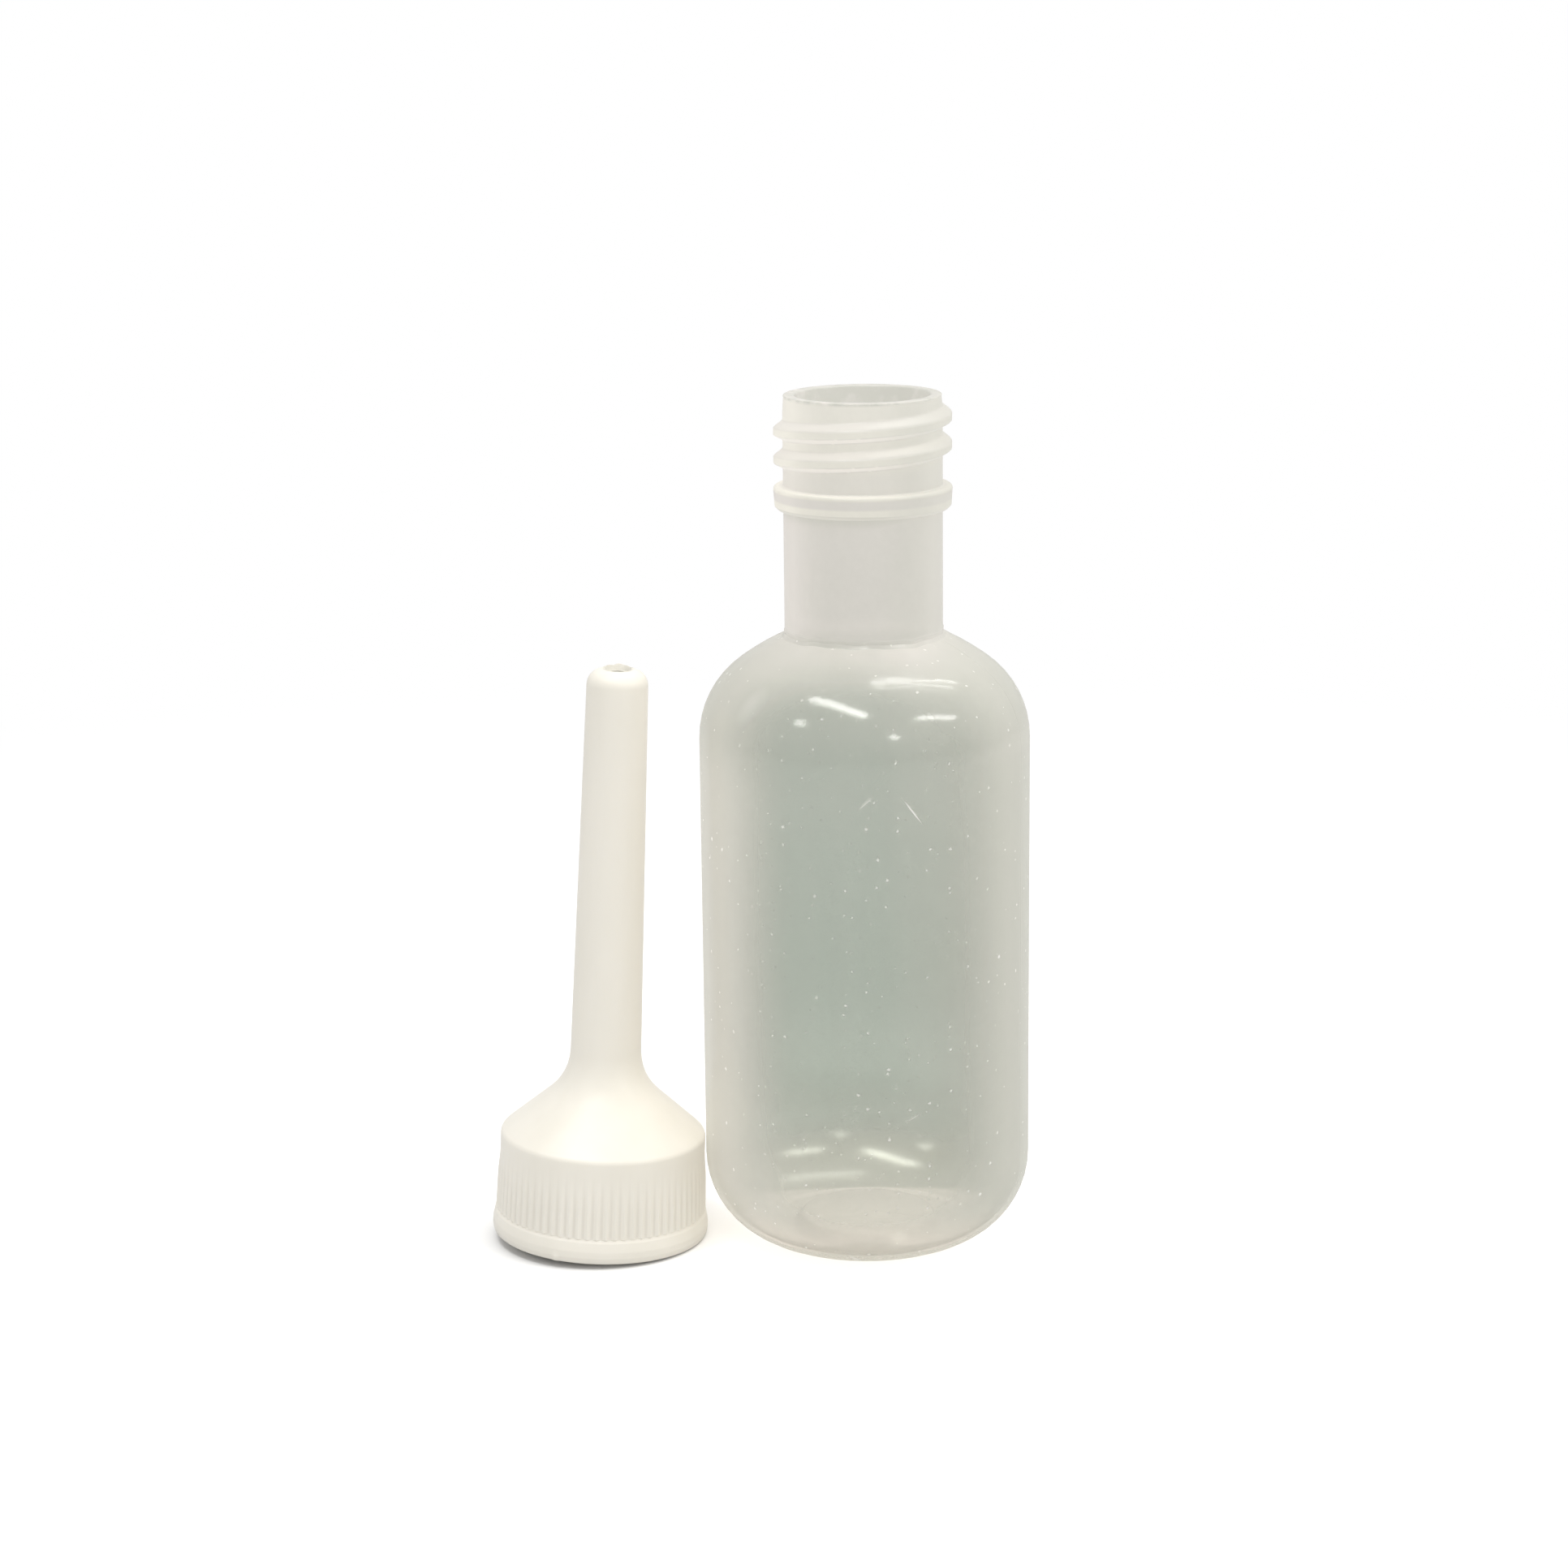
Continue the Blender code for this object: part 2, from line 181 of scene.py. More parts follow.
@dataclass(frozen=True)
class Outline:
    """Corners in the XZ plane that a pen joins by straights and fillets, and that turn about Z."""

    corners: tuple[Corner, ...]
    closed: bool = False
    arc_step: float = math.radians(7)

    def ray(self, index: int, step: int) -> tuple[Vector, float, float]:
        """Looks from a corner to its neighbour.

        Args:
            index: The corner.
            step: 1 for the next corner and -1 for the one before.

        Returns:
            The direction, the distance and the neighbour's fillet.
        """
        here = self.corners[index]
        there = self.corners[(index + step) % len(self.corners)]
        away = Vector((there.radius - here.radius, 0, there.height - here.height))
        return away.normalized(), away.length, there.fillet

    def arc(self, index: int) -> tuple[Vector, Vector, float]:
        """Works out a corner's fillet.

        Args:
            index: The corner.

        Returns:
            Where the fillet starts, its centre and the angle that it sweeps about -Y, which is 0 if it has none.
        """
        corner = self.corners[index]
        place = Vector((corner.radius, 0, corner.height))
        if not corner.fillet:
            return place, place, 0.0
        rays = [self.ray(index, -1), self.ray(index, 1)]
        turn = rays[0][0].angle(rays[1][0])
        room = min(length * corner.fillet / (corner.fillet + other) for _, length, other in rays)
        radius = min(corner.fillet, room * math.tan(turn / 2))
        middle = (rays[0][0] + rays[1][0]).normalized()
        centre = place + middle * (radius / math.sin(turn / 2))
        start = place + rays[0][0] * (radius / math.tan(turn / 2))
        side = rays[0][0].cross(rays[1][0]).y
        return start, centre, math.copysign(math.pi - turn, side)

    def draw(self) -> bmesh.types.BMesh:
        """Draws the outline as a wire, straight by straight and fillet by fillet."""
        shape = bmesh.new()
        first = tip = shape.verts.new(self.arc(0)[0])
        for index in range(1, len(self.corners)):
            start, centre, swept = self.arc(index)
            way = start - tip.co
            rows = max(1, math.ceil(way.length / self.corners[index].row))
            for _ in range(rows):
                tip = bmesh.ops.extrude_vert_indiv(shape, verts=[tip])["verts"][0]
                bmesh.ops.translate(shape, verts=[tip], vec=way / rows)
            if swept:
                steps = max(3, math.ceil(abs(swept) / self.arc_step))
                made = bmesh.ops.spin(
                    shape, geom=[tip], cent=centre, axis=(0, -1, 0), angle=swept, steps=steps,
                    use_merge=False, use_duplicate=False,
                )
                tip = next(v for v in made["geom_last"] if isinstance(v, bmesh.types.BMVert))
        if self.closed:
            shape.edges.new((tip, first))
        return shape

    def turned(self, sides: int) -> bmesh.types.BMesh:
        """Turns the outline once round Z.

        Args:
            sides: How many columns the skin has, a multiple of 8.

        Returns:
            A closed skin whose faces point outwards.
        """
        shape = self.draw()
        sector = math.tau / 8
        bmesh.ops.spin(
            shape, geom=shape.verts[:] + shape.edges[:], cent=(0, 0, 0), axis=(0, 0, 1),
            angle=sector, steps=sides // 8, use_merge=False, use_duplicate=False,
        )
        # A spin slows down with every column, so one eighth is spun and then doubled three times
        for _ in range(3):
            copied = bmesh.ops.duplicate(shape, geom=shape.verts[:] + shape.edges[:] + shape.faces[:])
            verts = [item for item in copied["geom"] if isinstance(item, bmesh.types.BMVert)]
            bmesh.ops.rotate(shape, verts=verts, cent=(0, 0, 0), matrix=Matrix.Rotation(sector, 3, "Z"))
            sector *= 2
        bmesh.ops.remove_doubles(shape, verts=shape.verts[:], dist=0.001 * MM)
        bmesh.ops.recalc_face_normals(shape, faces=shape.faces[:])
        return shape


@dataclass(frozen=True)
class ThreadRidge:
    """A right-hand thread raised out of a turned wall, fading at both ends."""

    wall: float
    side: Side
    top: float
    end: float
    swept: float
    lower_flank: float
    upper_flank: float
    pitch: float = 3.175 * MM
    depth: float = 1.05 * MM
    crest: float = 0.75 * MM
    fade: float = math.radians(40)

    def rise(self, angle: float, height: float) -> float:
        """How far the ridge stands out of its wall.

        Args:
            angle: The azimuth about the thread's axis.
            height: The height along that axis.

        Returns:
            The rise, which is 0 beside the ridge.
        """
        most = 0.0
        back = (self.end - angle) % math.tau
        while back <= self.swept:
            centre = self.top - self.pitch * back / math.tau
            scale = math.sqrt(eased(0, self.fade, min(back, self.swept - back)))
            offset = height - centre
            flank = self.upper_flank if offset > 0 else self.lower_flank
            past = abs(offset) - self.crest / 2 * scale
            if scale > 0 and past < flank * scale:
                share = 1 - max(0.0, past) / (flank * scale)
                most = max(most, self.depth * scale * (0.55 * share + 0.45 * eased(0, 1, share)))
            back += math.tau
        return most

    def shape(self, skin: bmesh.types.BMesh) -> None:
        """Raises the ridge out of the wall that it stands on.

        Args:
            skin: The turned skin, whose rows are close enough together there.
        """
        reach = self.crest + self.upper_flank + self.lower_flank
        foot = self.top - self.pitch * self.swept / math.tau - reach
        for vertex in skin.verts:
            x, y, z = vertex.co
            radius = math.hypot(x, y)
            if not foot < z < self.top + reach or abs(radius - self.wall) > 0.15 * MM:
                continue
            rise = self.rise(math.atan2(y, x), z)
            if rise > 0:
                wanted = self.wall + self.side.value * rise
                factor = max(radius, wanted) if self.side is Side.OUTWARDS else min(radius, wanted)
                vertex.co.x *= factor / radius
                vertex.co.y *= factor / radius


@dataclass(frozen=True)
class ScratchMark:
    """A fine scrape or smear that scatters light: its middle, half length, half width, tilt and strength."""

    x: float
    y: float
    z: float
    half_length: float
    half_width: float
    tilt: float
    strength: float = 0.8


@dataclass(frozen=True)
class NaturalPolythene:
    """Natural low-density polyethylene, extrusion blow moulded.

    With no pigment, the thin wall is a grey-green haze that one sees through, and where it is thick, at the neck,
    the shoulder and the heel, or seen at a slant, it turns milky. Blowing leaves long soft lines down the wall and
    uneven thickness. The waxy skin has a soft gloss, a parting line, and the specks and scrapes of handling.
    """

    axis: Vector
    height: float
    neck_foot: float
    name: str = "natural_ldpe_blow_moulded"
    milk: str = "DFDDD6"
    neck_milk: str = "E7E3DF"
    thick_milk_and_painted_light: str = "F6F3EA"
    rim_shade: str = "D0D0C8"
    floor_milk: str = "FFF5F0"
    dust: str = "FFFFFF"
    clear: str = "E3E6E2"
    clear_middle: str = "DEE1DD"
    clear_shade: str = "F9F8F6"
    clear_foot: str = "EBEAE5"
    ior: float = 1.51
    seam_azimuth: float = math.radians(-23)
    patch_size: float = 26 * MM
    line_spacing: float = 2.2 * MM
    mottle_size: float = 1.1 * MM
    grain_size: float = 0.5 * MM
    speck_cell: float = 1.15 * MM
    speck_radius: float = 0.24 * MM
    seam_width: float = 0.2 * MM
    floor_reach: tuple[float, float] = (11.8 * MM, 10.0 * MM)
    floor_shift: float = 1.6 * MM
    bore_radius: float = 7.6 * MM
    bore_shade_strength: float = 0.85
    collar_top: float = 88.33 * MM
    collar_foot: float = 85.73 * MM
    # Haze of one skin by height: the height as a share of the bottle's, and the share of light that it scatters
    haze: tuple[tuple[float, float], ...] = (
        (0.0, 0.14), (0.03, 0.15), (0.07, 0.22), (0.11, 0.2), (0.16, 0.07), (0.26, 0.02), (0.36, 0.015),
        (0.5, 0.045), (0.6, 0.095), (0.65, 0.19), (0.68, 0.24), (0.715, 0.33), (0.73, 0.48), (0.75, 0.6), (1.0, 0.72),
    )
    marks: tuple[ScratchMark, ...] = ()

    def floor_zone(
        self, tree: bpy.types.NodeTree, place: bpy.types.NodeSocket,
    ) -> tuple[bpy.types.NodeSocket, bpy.types.NodeSocket]:
        """Draws the floor, the thick end of the tube, which the closing mould drew out into an oval.

        Args:
            tree: The material's nodes.
            place: Object coordinates, centred on the bottle's axis.

        Returns:
            1 on the oval, and 1 on the dense ring at its border.
        """
        reach_x, reach_y = self.floor_reach
        shares = []
        for stretch in (1.25, 1.0):
            scaled = add_node(
                tree, "ShaderNodeMapping", {},
                {"Location": (0, -self.floor_shift / reach_y, 0), "Scale": (1 / (stretch * reach_x), 1 / reach_y, 0)},
                {"Vector": place},
            )
            length = add_node(
                tree, "ShaderNodeVectorMath", {"operation": "LENGTH"}, {}, {0: scaled.outputs["Vector"]},
            )
            shares.append(length.outputs["Value"])
        high = add_node(tree, "ShaderNodeSeparateXYZ", {}, {}, {"Vector": place}).outputs["Z"]
        low = add_step(tree, high, 5.2 * MM, 4 * MM)
        oval = add_math(tree, "MULTIPLY", add_step(tree, shares[0], 1.06, 0.94), low)
        away = add_math(tree, "ABSOLUTE", add_math(tree, "SUBTRACT", shares[1], 0.95))
        ring = add_math(tree, "MULTIPLY", add_step(tree, away, 0.07, 0.03), low)
        return oval, ring

    def wall_haze(
        self, tree: bpy.types.NodeTree, place: bpy.types.NodeSocket, oval: bpy.types.NodeSocket,
        ring: bpy.types.NodeSocket,
    ) -> bpy.types.NodeSocket:
        """Draws how milky the wall is, from its thickness.

        Args:
            tree: The material's nodes.
            place: Object coordinates, centred on the bottle's axis.
            oval: The floor.
            ring: The ring at the floor's border.

        Returns:
            The share of light that one skin scatters, seen straight on.
        """
        patches = add_node(
            tree, "ShaderNodeTexNoise", {}, {"Scale": 1 / self.patch_size, "Detail": 2.0, "Roughness": 0.45},
            {"Vector": place},
        )
        split = add_node(tree, "ShaderNodeSeparateXYZ", {}, {}, {"Vector": place})
        level = add_math(tree, "MULTIPLY", split.outputs["Z"], 1 / self.height)
        drift = add_math(tree, "MULTIPLY_ADD", patches.outputs["Fac"], 0.07, -0.035)
        ramp = add_node(tree, "ShaderNodeValToRGB", {}, {}, {"Fac": add_math(tree, "ADD", level, drift)})
        ramp.color_ramp.interpolation = "EASE"
        stops = ramp.color_ramp.elements
        while len(stops) < len(self.haze):
            stops.new(0.5)
        for stop, (share, grey) in zip(stops, self.haze):
            stop.position = share
            stop.color = (grey, grey, grey, 1)
        # Blowing lines run down the body's wall, so their pattern is drawn out along Z and ends at the shoulder
        drawn = add_node(tree, "ShaderNodeMapping", {}, {"Scale": (1, 1, 0.03)}, {"Vector": place})
        lines = add_node(
            tree, "ShaderNodeTexNoise", {}, {"Scale": 1 / self.line_spacing, "Detail": 1.5, "Roughness": 0.5},
            {"Vector": drawn.outputs["Vector"]},
        )
        mottle = add_node(
            tree, "ShaderNodeTexNoise", {}, {"Scale": 1 / self.mottle_size, "Detail": 3.0, "Roughness": 0.6},
            {"Vector": place},
        )
        body = add_step(tree, level, 0.74, 0.64, 0.05)
        lined = add_math(tree, "MULTIPLY", add_math(tree, "SUBTRACT", lines.outputs["Fac"], 0.5), body)
        grained = add_math(tree, "MULTIPLY_ADD", mottle.outputs["Fac"], 0.05, -0.025)
        # The wall came out thicker on the side of the parting line
        side = add_math(
            tree, "MULTIPLY", add_step(tree, split.outputs["X"], 0, 10 * MM, 0.12),
            add_step(tree, split.outputs["Z"], 12 * MM, 28 * MM),
        )
        # The heel is thicker behind than in front
        heel = add_math(
            tree, "MULTIPLY", add_step(tree, split.outputs["Z"], 9 * MM, 3 * MM, 0.25),
            add_step(tree, split.outputs["Y"], -4 * MM, 6 * MM),
        )
        wall = ramp.outputs["Color"]
        for term in (lined, grained, side, heel):
            wall = add_math(tree, "ADD", wall, term)
        floor = add_math(tree, "MULTIPLY", oval, 0.78)
        return add_math(tree, "MAXIMUM", wall, add_math(tree, "MAXIMUM", floor, ring))

    def specks(self, tree: bpy.types.NodeTree, place: bpy.types.NodeSocket) -> bpy.types.NodeSocket:
        """Draws dust, fine blisters and scrapes on the skin.

        Args:
            tree: The material's nodes.
            place: Object coordinates, centred on the bottle's axis.

        Returns:
            How strongly each spot scatters light, from 0 to 1.
        """
        ragged = add_node(
            tree, "ShaderNodeTexNoise", {}, {"Scale": 1 / (0.25 * MM), "Detail": 1.0}, {"Vector": place},
        )
        shaken = add_node(
            tree, "ShaderNodeVectorMath", {"operation": "MULTIPLY_ADD"}, {1: (0.3 * MM,) * 3},
            {0: ragged.outputs["Color"], 2: place},
        )
        cells = add_node(
            tree, "ShaderNodeTexVoronoi", {}, {"Scale": 1 / self.speck_cell, "Randomness": 1.0},
            {"Vector": shaken.outputs["Vector"]},
        )
        # Each cell's own random grey makes some specks large and bright and leaves most of them faint
        chance = add_node(tree, "ShaderNodeSeparateXYZ", {}, {}, {"Vector": cells.outputs["Color"]})
        edge = add_math(tree, "MULTIPLY_ADD", chance.outputs["X"], self.speck_radius / self.speck_cell, 0.02)
        near = add_math(tree, "DIVIDE", cells.outputs["Distance"], edge)
        strong = add_step(tree, chance.outputs["Y"], 0.2, 1.0, 0.5)
        found = add_math(tree, "MULTIPLY", add_step(tree, near, 1.0, 0.5), strong)
        high = add_node(tree, "ShaderNodeSeparateXYZ", {}, {}, {"Vector": place}).outputs["Z"]
        fewer = add_step(tree, high, self.neck_foot + 1 * MM, self.neck_foot - 1 * MM)
        found = add_math(tree, "MULTIPLY", found, fewer)
        for mark in self.marks:
            # The mapping turns the scrape's own ellipse into a unit ball, so the gradient fades to its border
            turned = add_node(
                tree, "ShaderNodeMapping", {"vector_type": "TEXTURE"},
                {
                    "Location": (mark.x, mark.y, mark.z), "Rotation": (0, mark.tilt, 0),
                    "Scale": (mark.half_length, 3 * MM, mark.half_width),
                },
                {"Vector": place},
            )
            ball = add_node(
                tree, "ShaderNodeTexGradient", {"gradient_type": "SPHERICAL"}, {}, {"Vector": turned.outputs["Vector"]},
            )
            found = add_math(tree, "MAXIMUM", found, add_step(tree, ball.outputs["Fac"], 0, 0.7, mark.strength))
        return found

    def parting_line(self, tree: bpy.types.NodeTree, place: bpy.types.NodeSocket) -> bpy.types.NodeSocket:
        """Draws the fine ridge where the halves of the mould met.

        Args:
            tree: The material's nodes.
            place: Object coordinates, centred on the bottle's axis.

        Returns:
            1 on the ridge and 0 beside it.
        """
        turned = add_node(
            tree, "ShaderNodeMapping", {}, {"Rotation": (0, 0, -self.seam_azimuth)}, {"Vector": place},
        )
        split = add_node(tree, "ShaderNodeSeparateXYZ", {}, {}, {"Vector": turned.outputs["Vector"]})
        away = add_math(tree, "ABSOLUTE", split.outputs["Y"])
        front = add_step(tree, split.outputs["X"], -1 * MM, 1 * MM)
        below = add_step(tree, split.outputs["Z"], self.neck_foot + 0.5 * MM, self.neck_foot - 1 * MM)
        line = add_math(tree, "MULTIPLY", add_step(tree, away, self.seam_width, 0.0), below)
        return add_math(tree, "MULTIPLY", line, front)

    def relief(
        self, tree: bpy.types.NodeTree, place: bpy.types.NodeSocket, seam: bpy.types.NodeSocket,
        spots: bpy.types.NodeSocket,
    ) -> bpy.types.NodeSocket:
        """Draws the skin's fine relief: orange peel from the mould, the parting line and the scrapes.

        Args:
            tree: The material's nodes.
            place: Object coordinates, centred on the bottle's axis.
            seam: The parting line.
            spots: The specks and scrapes.

        Returns:
            The bent normal.
        """
        peel = add_node(
            tree, "ShaderNodeTexNoise", {}, {"Scale": 1 / self.grain_size, "Detail": 2.0}, {"Vector": place},
        )
        waves = add_node(
            tree, "ShaderNodeTexNoise", {}, {"Scale": 1 / (6 * MM), "Detail": 1.0}, {"Vector": place},
        )
        normal = None
        layers = (
            (waves.outputs["Fac"], 0.5, 0.07 * MM), (peel.outputs["Fac"], 0.5, 0.016 * MM), (seam, 0.8, 0.06 * MM),
            (spots, 0.4, 0.006 * MM),
        )
        for height, strength, depth in layers:
            links = {"Height": height} if normal is None else {"Height": height, "Normal": normal}
            bump = add_node(tree, "ShaderNodeBump", {}, {"Strength": strength, "Distance": depth}, links)
            normal = bump.outputs["Normal"]
        return normal

    def blend(
        self, tree: bpy.types.NodeTree, share: bpy.types.NodeSocket,
        first: bpy.types.NodeSocket | tuple[float, ...], last: tuple[float, ...],
    ) -> bpy.types.NodeSocket:
        """Blends one colour, an output or a constant, into another, and returns the output."""
        node = add_node(tree, "ShaderNodeMix", {"data_type": "RGBA"}, {7: last}, {"Factor": share})
        if isinstance(first, bpy.types.NodeSocket):
            tree.links.new(first, node.inputs[6])
        else:
            node.inputs[6].default_value = first
        return node.outputs[2]

    def painted_finish_light(
        self, tree: bpy.types.NodeTree, place: bpy.types.NodeSocket, radius: bpy.types.NodeSocket,
    ) -> bpy.types.NodeSocket:
        """Draws the lighter tone of the thick threaded finish outside: partly its whiter, thicker plastic and partly
        painted light.

        The crests take it in full, so that they are painted about as light as the flanks that face the lamps; flanks
        facing up or down take less, and a band on the collar's upper half is kept darker as painted shade.

        Args:
            tree: The material's nodes.
            place: Object coordinates, centred on the bottle's axis.
            radius: The distance from that axis.

        Returns:
            From 0 at the thin neck to 1 on the crests.
        """
        height = add_node(tree, "ShaderNodeSeparateXYZ", {}, {}, {"Vector": place}).outputs["Z"]
        facing = add_node(tree, "ShaderNodeNewGeometry").outputs["Normal"]
        slope = add_node(tree, "ShaderNodeSeparateXYZ", {}, {}, {"Vector": facing}).outputs["Z"]
        above = add_step(tree, height, self.collar_foot + 0.2 * MM, self.collar_foot + 0.4 * MM)
        outer = add_step(tree, radius, self.bore_radius + 0.8 * MM, self.bore_radius + 1.2 * MM)
        ridge = add_step(tree, radius, self.bore_radius + 1.4 * MM, self.bore_radius + 2 * MM)
        wall = add_step(tree, height, self.collar_top + 1.6 * MM, self.collar_top + 3.8 * MM, 0.45)
        level = add_math(tree, "MAXIMUM", ridge, add_math(tree, "ADD", wall, 0.4))
        threaded = add_step(tree, height, self.collar_top + 0.5 * MM, self.collar_top + 1 * MM)
        upward = add_math(tree, "MULTIPLY", add_step(tree, slope, 0.15, 0.6, 0.6), threaded)
        dimmed = add_math(tree, "MAXIMUM", upward, add_step(tree, slope, -0.15, -0.5, 0.7))
        # Painted shade: the collar's upper half gets a darker band, where the collar bends light away from the eye as a
        # lens does
        upper = add_step(tree, height, self.collar_top - 0.3 * MM, self.collar_top - 0.6 * MM)
        lower = add_step(tree, height, self.collar_top - 1.65 * MM, self.collar_top - 1.3 * MM)
        dimmed = add_math(tree, "MAXIMUM", dimmed, add_math(tree, "MULTIPLY", upper, lower))
        glow = add_math(tree, "MULTIPLY", add_math(tree, "MULTIPLY", above, outer), level)
        return add_math(tree, "MULTIPLY", glow, add_math(tree, "SUBTRACT", 1.0, dimmed))

    def build(self) -> bpy.types.Material:
        """Makes the material."""
        made = empty_material(self.name)
        tree = made.node_tree
        source = add_node(tree, "ShaderNodeTexCoord")
        centred = add_node(
            tree, "ShaderNodeMapping", {}, {"Location": -self.axis}, {"Vector": source.outputs["Object"]},
        )
        place = centred.outputs["Vector"]
        flat = add_node(tree, "ShaderNodeMapping", {}, {"Scale": (1, 1, 0)}, {"Vector": place})
        radius = add_node(
            tree, "ShaderNodeVectorMath", {"operation": "LENGTH"}, {}, {0: flat.outputs["Vector"]},
        ).outputs["Value"]
        oval, ring = self.floor_zone(tree, place)
        haze = self.wall_haze(tree, place, oval, ring)
        spots = self.specks(tree, place)
        seam = self.parting_line(tree, place)
        normal = self.relief(tree, place, seam, spots)
        # Light crosses more of the wall at a slant, so the haze thickens towards the outline
        slant = add_node(tree, "ShaderNodeLayerWeight", {}, {"Blend": 0.5})
        split = add_node(tree, "ShaderNodeSeparateXYZ", {}, {}, {"Vector": place})
        facing = add_step(tree, slant.outputs["Facing"], 0.1, 0.56, 0.66)
        drawn = add_math(tree, "ADD", add_step(tree, split.outputs["Z"], 1 * MM, 11 * MM, 0.7), 0.3)
        bent = add_math(tree, "MULTIPLY", facing, drawn)
        thick = add_math(tree, "MULTIPLY_ADD", add_math(tree, "SUBTRACT", 1.0, haze), bent, haze)
        lined = add_math(tree, "MULTIPLY_ADD", seam, 0.12, thick)
        milky = add_math(tree, "ADD", lined, spots, clamp=True)
        # Painted shade: the bore near the top is darkened in mottled patches, as less light gets in, and the trimmed
        # rim is darkened too, with lighter chips left by the noise
        high = add_step(tree, split.outputs["Z"], self.height * 0.74, self.height * 0.76, self.bore_shade_strength)
        chips = add_node(
            tree, "ShaderNodeTexNoise", {}, {"Scale": 0.6 / self.mottle_size, "Detail": 3.0}, {"Vector": place},
        )
        clouded = add_math(tree, "SUBTRACT", high, add_step(tree, chips.outputs["Fac"], 0.45, 0.65, 0.35))
        bore = add_math(
            tree, "MULTIPLY", add_step(tree, radius, self.bore_radius + 0.9 * MM, self.bore_radius), clouded,
            clamp=True,
        )
        rim = add_step(tree, split.outputs["Z"], self.height - 0.5 * MM, self.height - 0.1 * MM)
        necked = add_step(tree, split.outputs["Z"], self.neck_foot - 1 * MM, self.neck_foot + 1 * MM)
        finish = self.painted_finish_light(tree, place, radius)
        painted_rim_shade = add_math(tree, "MULTIPLY", rim, add_step(tree, chips.outputs["Fac"], 0.72, 0.35, 0.9))
        # The thick neck takes a lighter milk; the lighter tone reaches 5 mm down onto the shoulder, partly thicker wall
        # and partly painted light
        root = add_step(tree, split.outputs["Z"], self.neck_foot - 5 * MM, self.neck_foot)
        tone = self.blend(tree, root, linear(self.milk), linear(self.neck_milk))
        # Painted light: the thread zone outside takes a lighter tone, most on the crests
        tone = self.blend(tree, finish, tone, linear(self.thick_milk_and_painted_light))
        # Painted shadow: a darker band just under the collar
        rising = add_step(tree, split.outputs["Z"], self.collar_foot - 1.4 * MM, self.collar_foot)
        ending = add_step(tree, split.outputs["Z"], self.collar_foot + 0.5 * MM, self.collar_foot + 0.3 * MM, 0.6)
        under = add_math(tree, "MULTIPLY", rising, ending)
        # Painted shade: the right side of the body and of the neck, and the shoulder, are darkened, the shoulder most
        # at its left and right ends and least by the neck
        lower = add_step(tree, split.outputs["Z"], self.neck_foot - 6 * MM, self.neck_foot - 16 * MM, 0.6)
        painted_side_shade = add_math(
            tree, "MULTIPLY", add_step(tree, split.outputs["X"], 3 * MM, 14 * MM),
            add_math(tree, "ADD", lower, 0.4),
        )
        painted_side_shade = add_math(
            tree, "MAXIMUM", painted_side_shade, add_math(tree, "MULTIPLY", add_step(tree, split.outputs["X"], 0, 7 * MM, 0.6), necked),
        )
        painted_shoulder_shade = add_math(
            tree, "MULTIPLY", add_step(tree, split.outputs["Z"], self.neck_foot - 18 * MM, self.neck_foot - 9 * MM),
            add_step(tree, split.outputs["Z"], self.neck_foot + 1 * MM, self.neck_foot),
        )
        painted_shoulder_shade = add_math(tree, "MULTIPLY", painted_shoulder_shade, add_math(tree, "MULTIPLY_ADD", root, -0.3, 1.0))
        ends = add_math(
            tree, "MAXIMUM", add_step(tree, split.outputs["X"], 2 * MM, -9 * MM, 0.35),
            add_step(tree, split.outputs["X"], 4 * MM, 11 * MM, 0.55),
        )
        painted_shoulder_shade = add_math(tree, "MULTIPLY", painted_shoulder_shade, add_math(tree, "ADD", ends, 0.36))
        # Painted shade: the front of the heel, near the table, is darkened
        front = add_math(
            tree, "MULTIPLY", add_step(tree, split.outputs["Z"], 5 * MM, 1 * MM, 0.75),
            add_step(tree, split.outputs["Y"], -4 * MM, -9 * MM),
        )
        # All the painted shade above is laid over the tone in the rim_shade colour
        painted_shade = bore
        for shade in (painted_rim_shade, under, painted_side_shade, painted_shoulder_shade, front):
            painted_shade = add_math(tree, "MAXIMUM", painted_shade, shade)
        tone = self.blend(tree, painted_shade, tone, linear(self.rim_shade))
        tone = self.blend(tree, oval, tone, linear(self.floor_milk))
        tone = self.blend(tree, spots, tone, linear(self.dust))
        solid = add_node(
            tree, "ShaderNodeBsdfPrincipled", {}, {"Roughness": 0.42, "IOR": self.ior, "Specular IOR Level": 0.0},
            {"Base Color": tone, "Normal": normal},
        )
        lit_through = add_node(
            tree, "ShaderNodeBsdfTranslucent", {}, {}, {"Color": tone, "Normal": normal},
        )
        # The floor is too thick to be lit through
        thin = add_step(tree, split.outputs["Z"], 3 * MM, 6 * MM, 0.35)
        milk = add_node(
            tree, "ShaderNodeMixShader", {}, {},
            {0: add_math(tree, "ADD", thin, 0.05), 1: solid.outputs[0], 2: lit_through.outputs[0]},
        )
        middle = add_math(
            tree, "MULTIPLY", add_step(tree, split.outputs["Z"], self.height * 0.6, self.height * 0.33),
            add_step(tree, split.outputs["Z"], self.height * 0.16, self.height * 0.25),
        )
        seen = self.blend(tree, middle, linear(self.clear), linear(self.clear_middle))
        foot = add_step(tree, split.outputs["Z"], 8 * MM, 4 * MM)
        seen = self.blend(tree, foot, seen, linear(self.clear_foot))
        window = add_node(tree, "ShaderNodeBsdfTransparent", {}, {}, {"Color": seen})
        wall = add_node(
            tree, "ShaderNodeMixShader", {}, {}, {0: milky, 1: window.outputs[0], 2: milk.outputs[0]},
        )
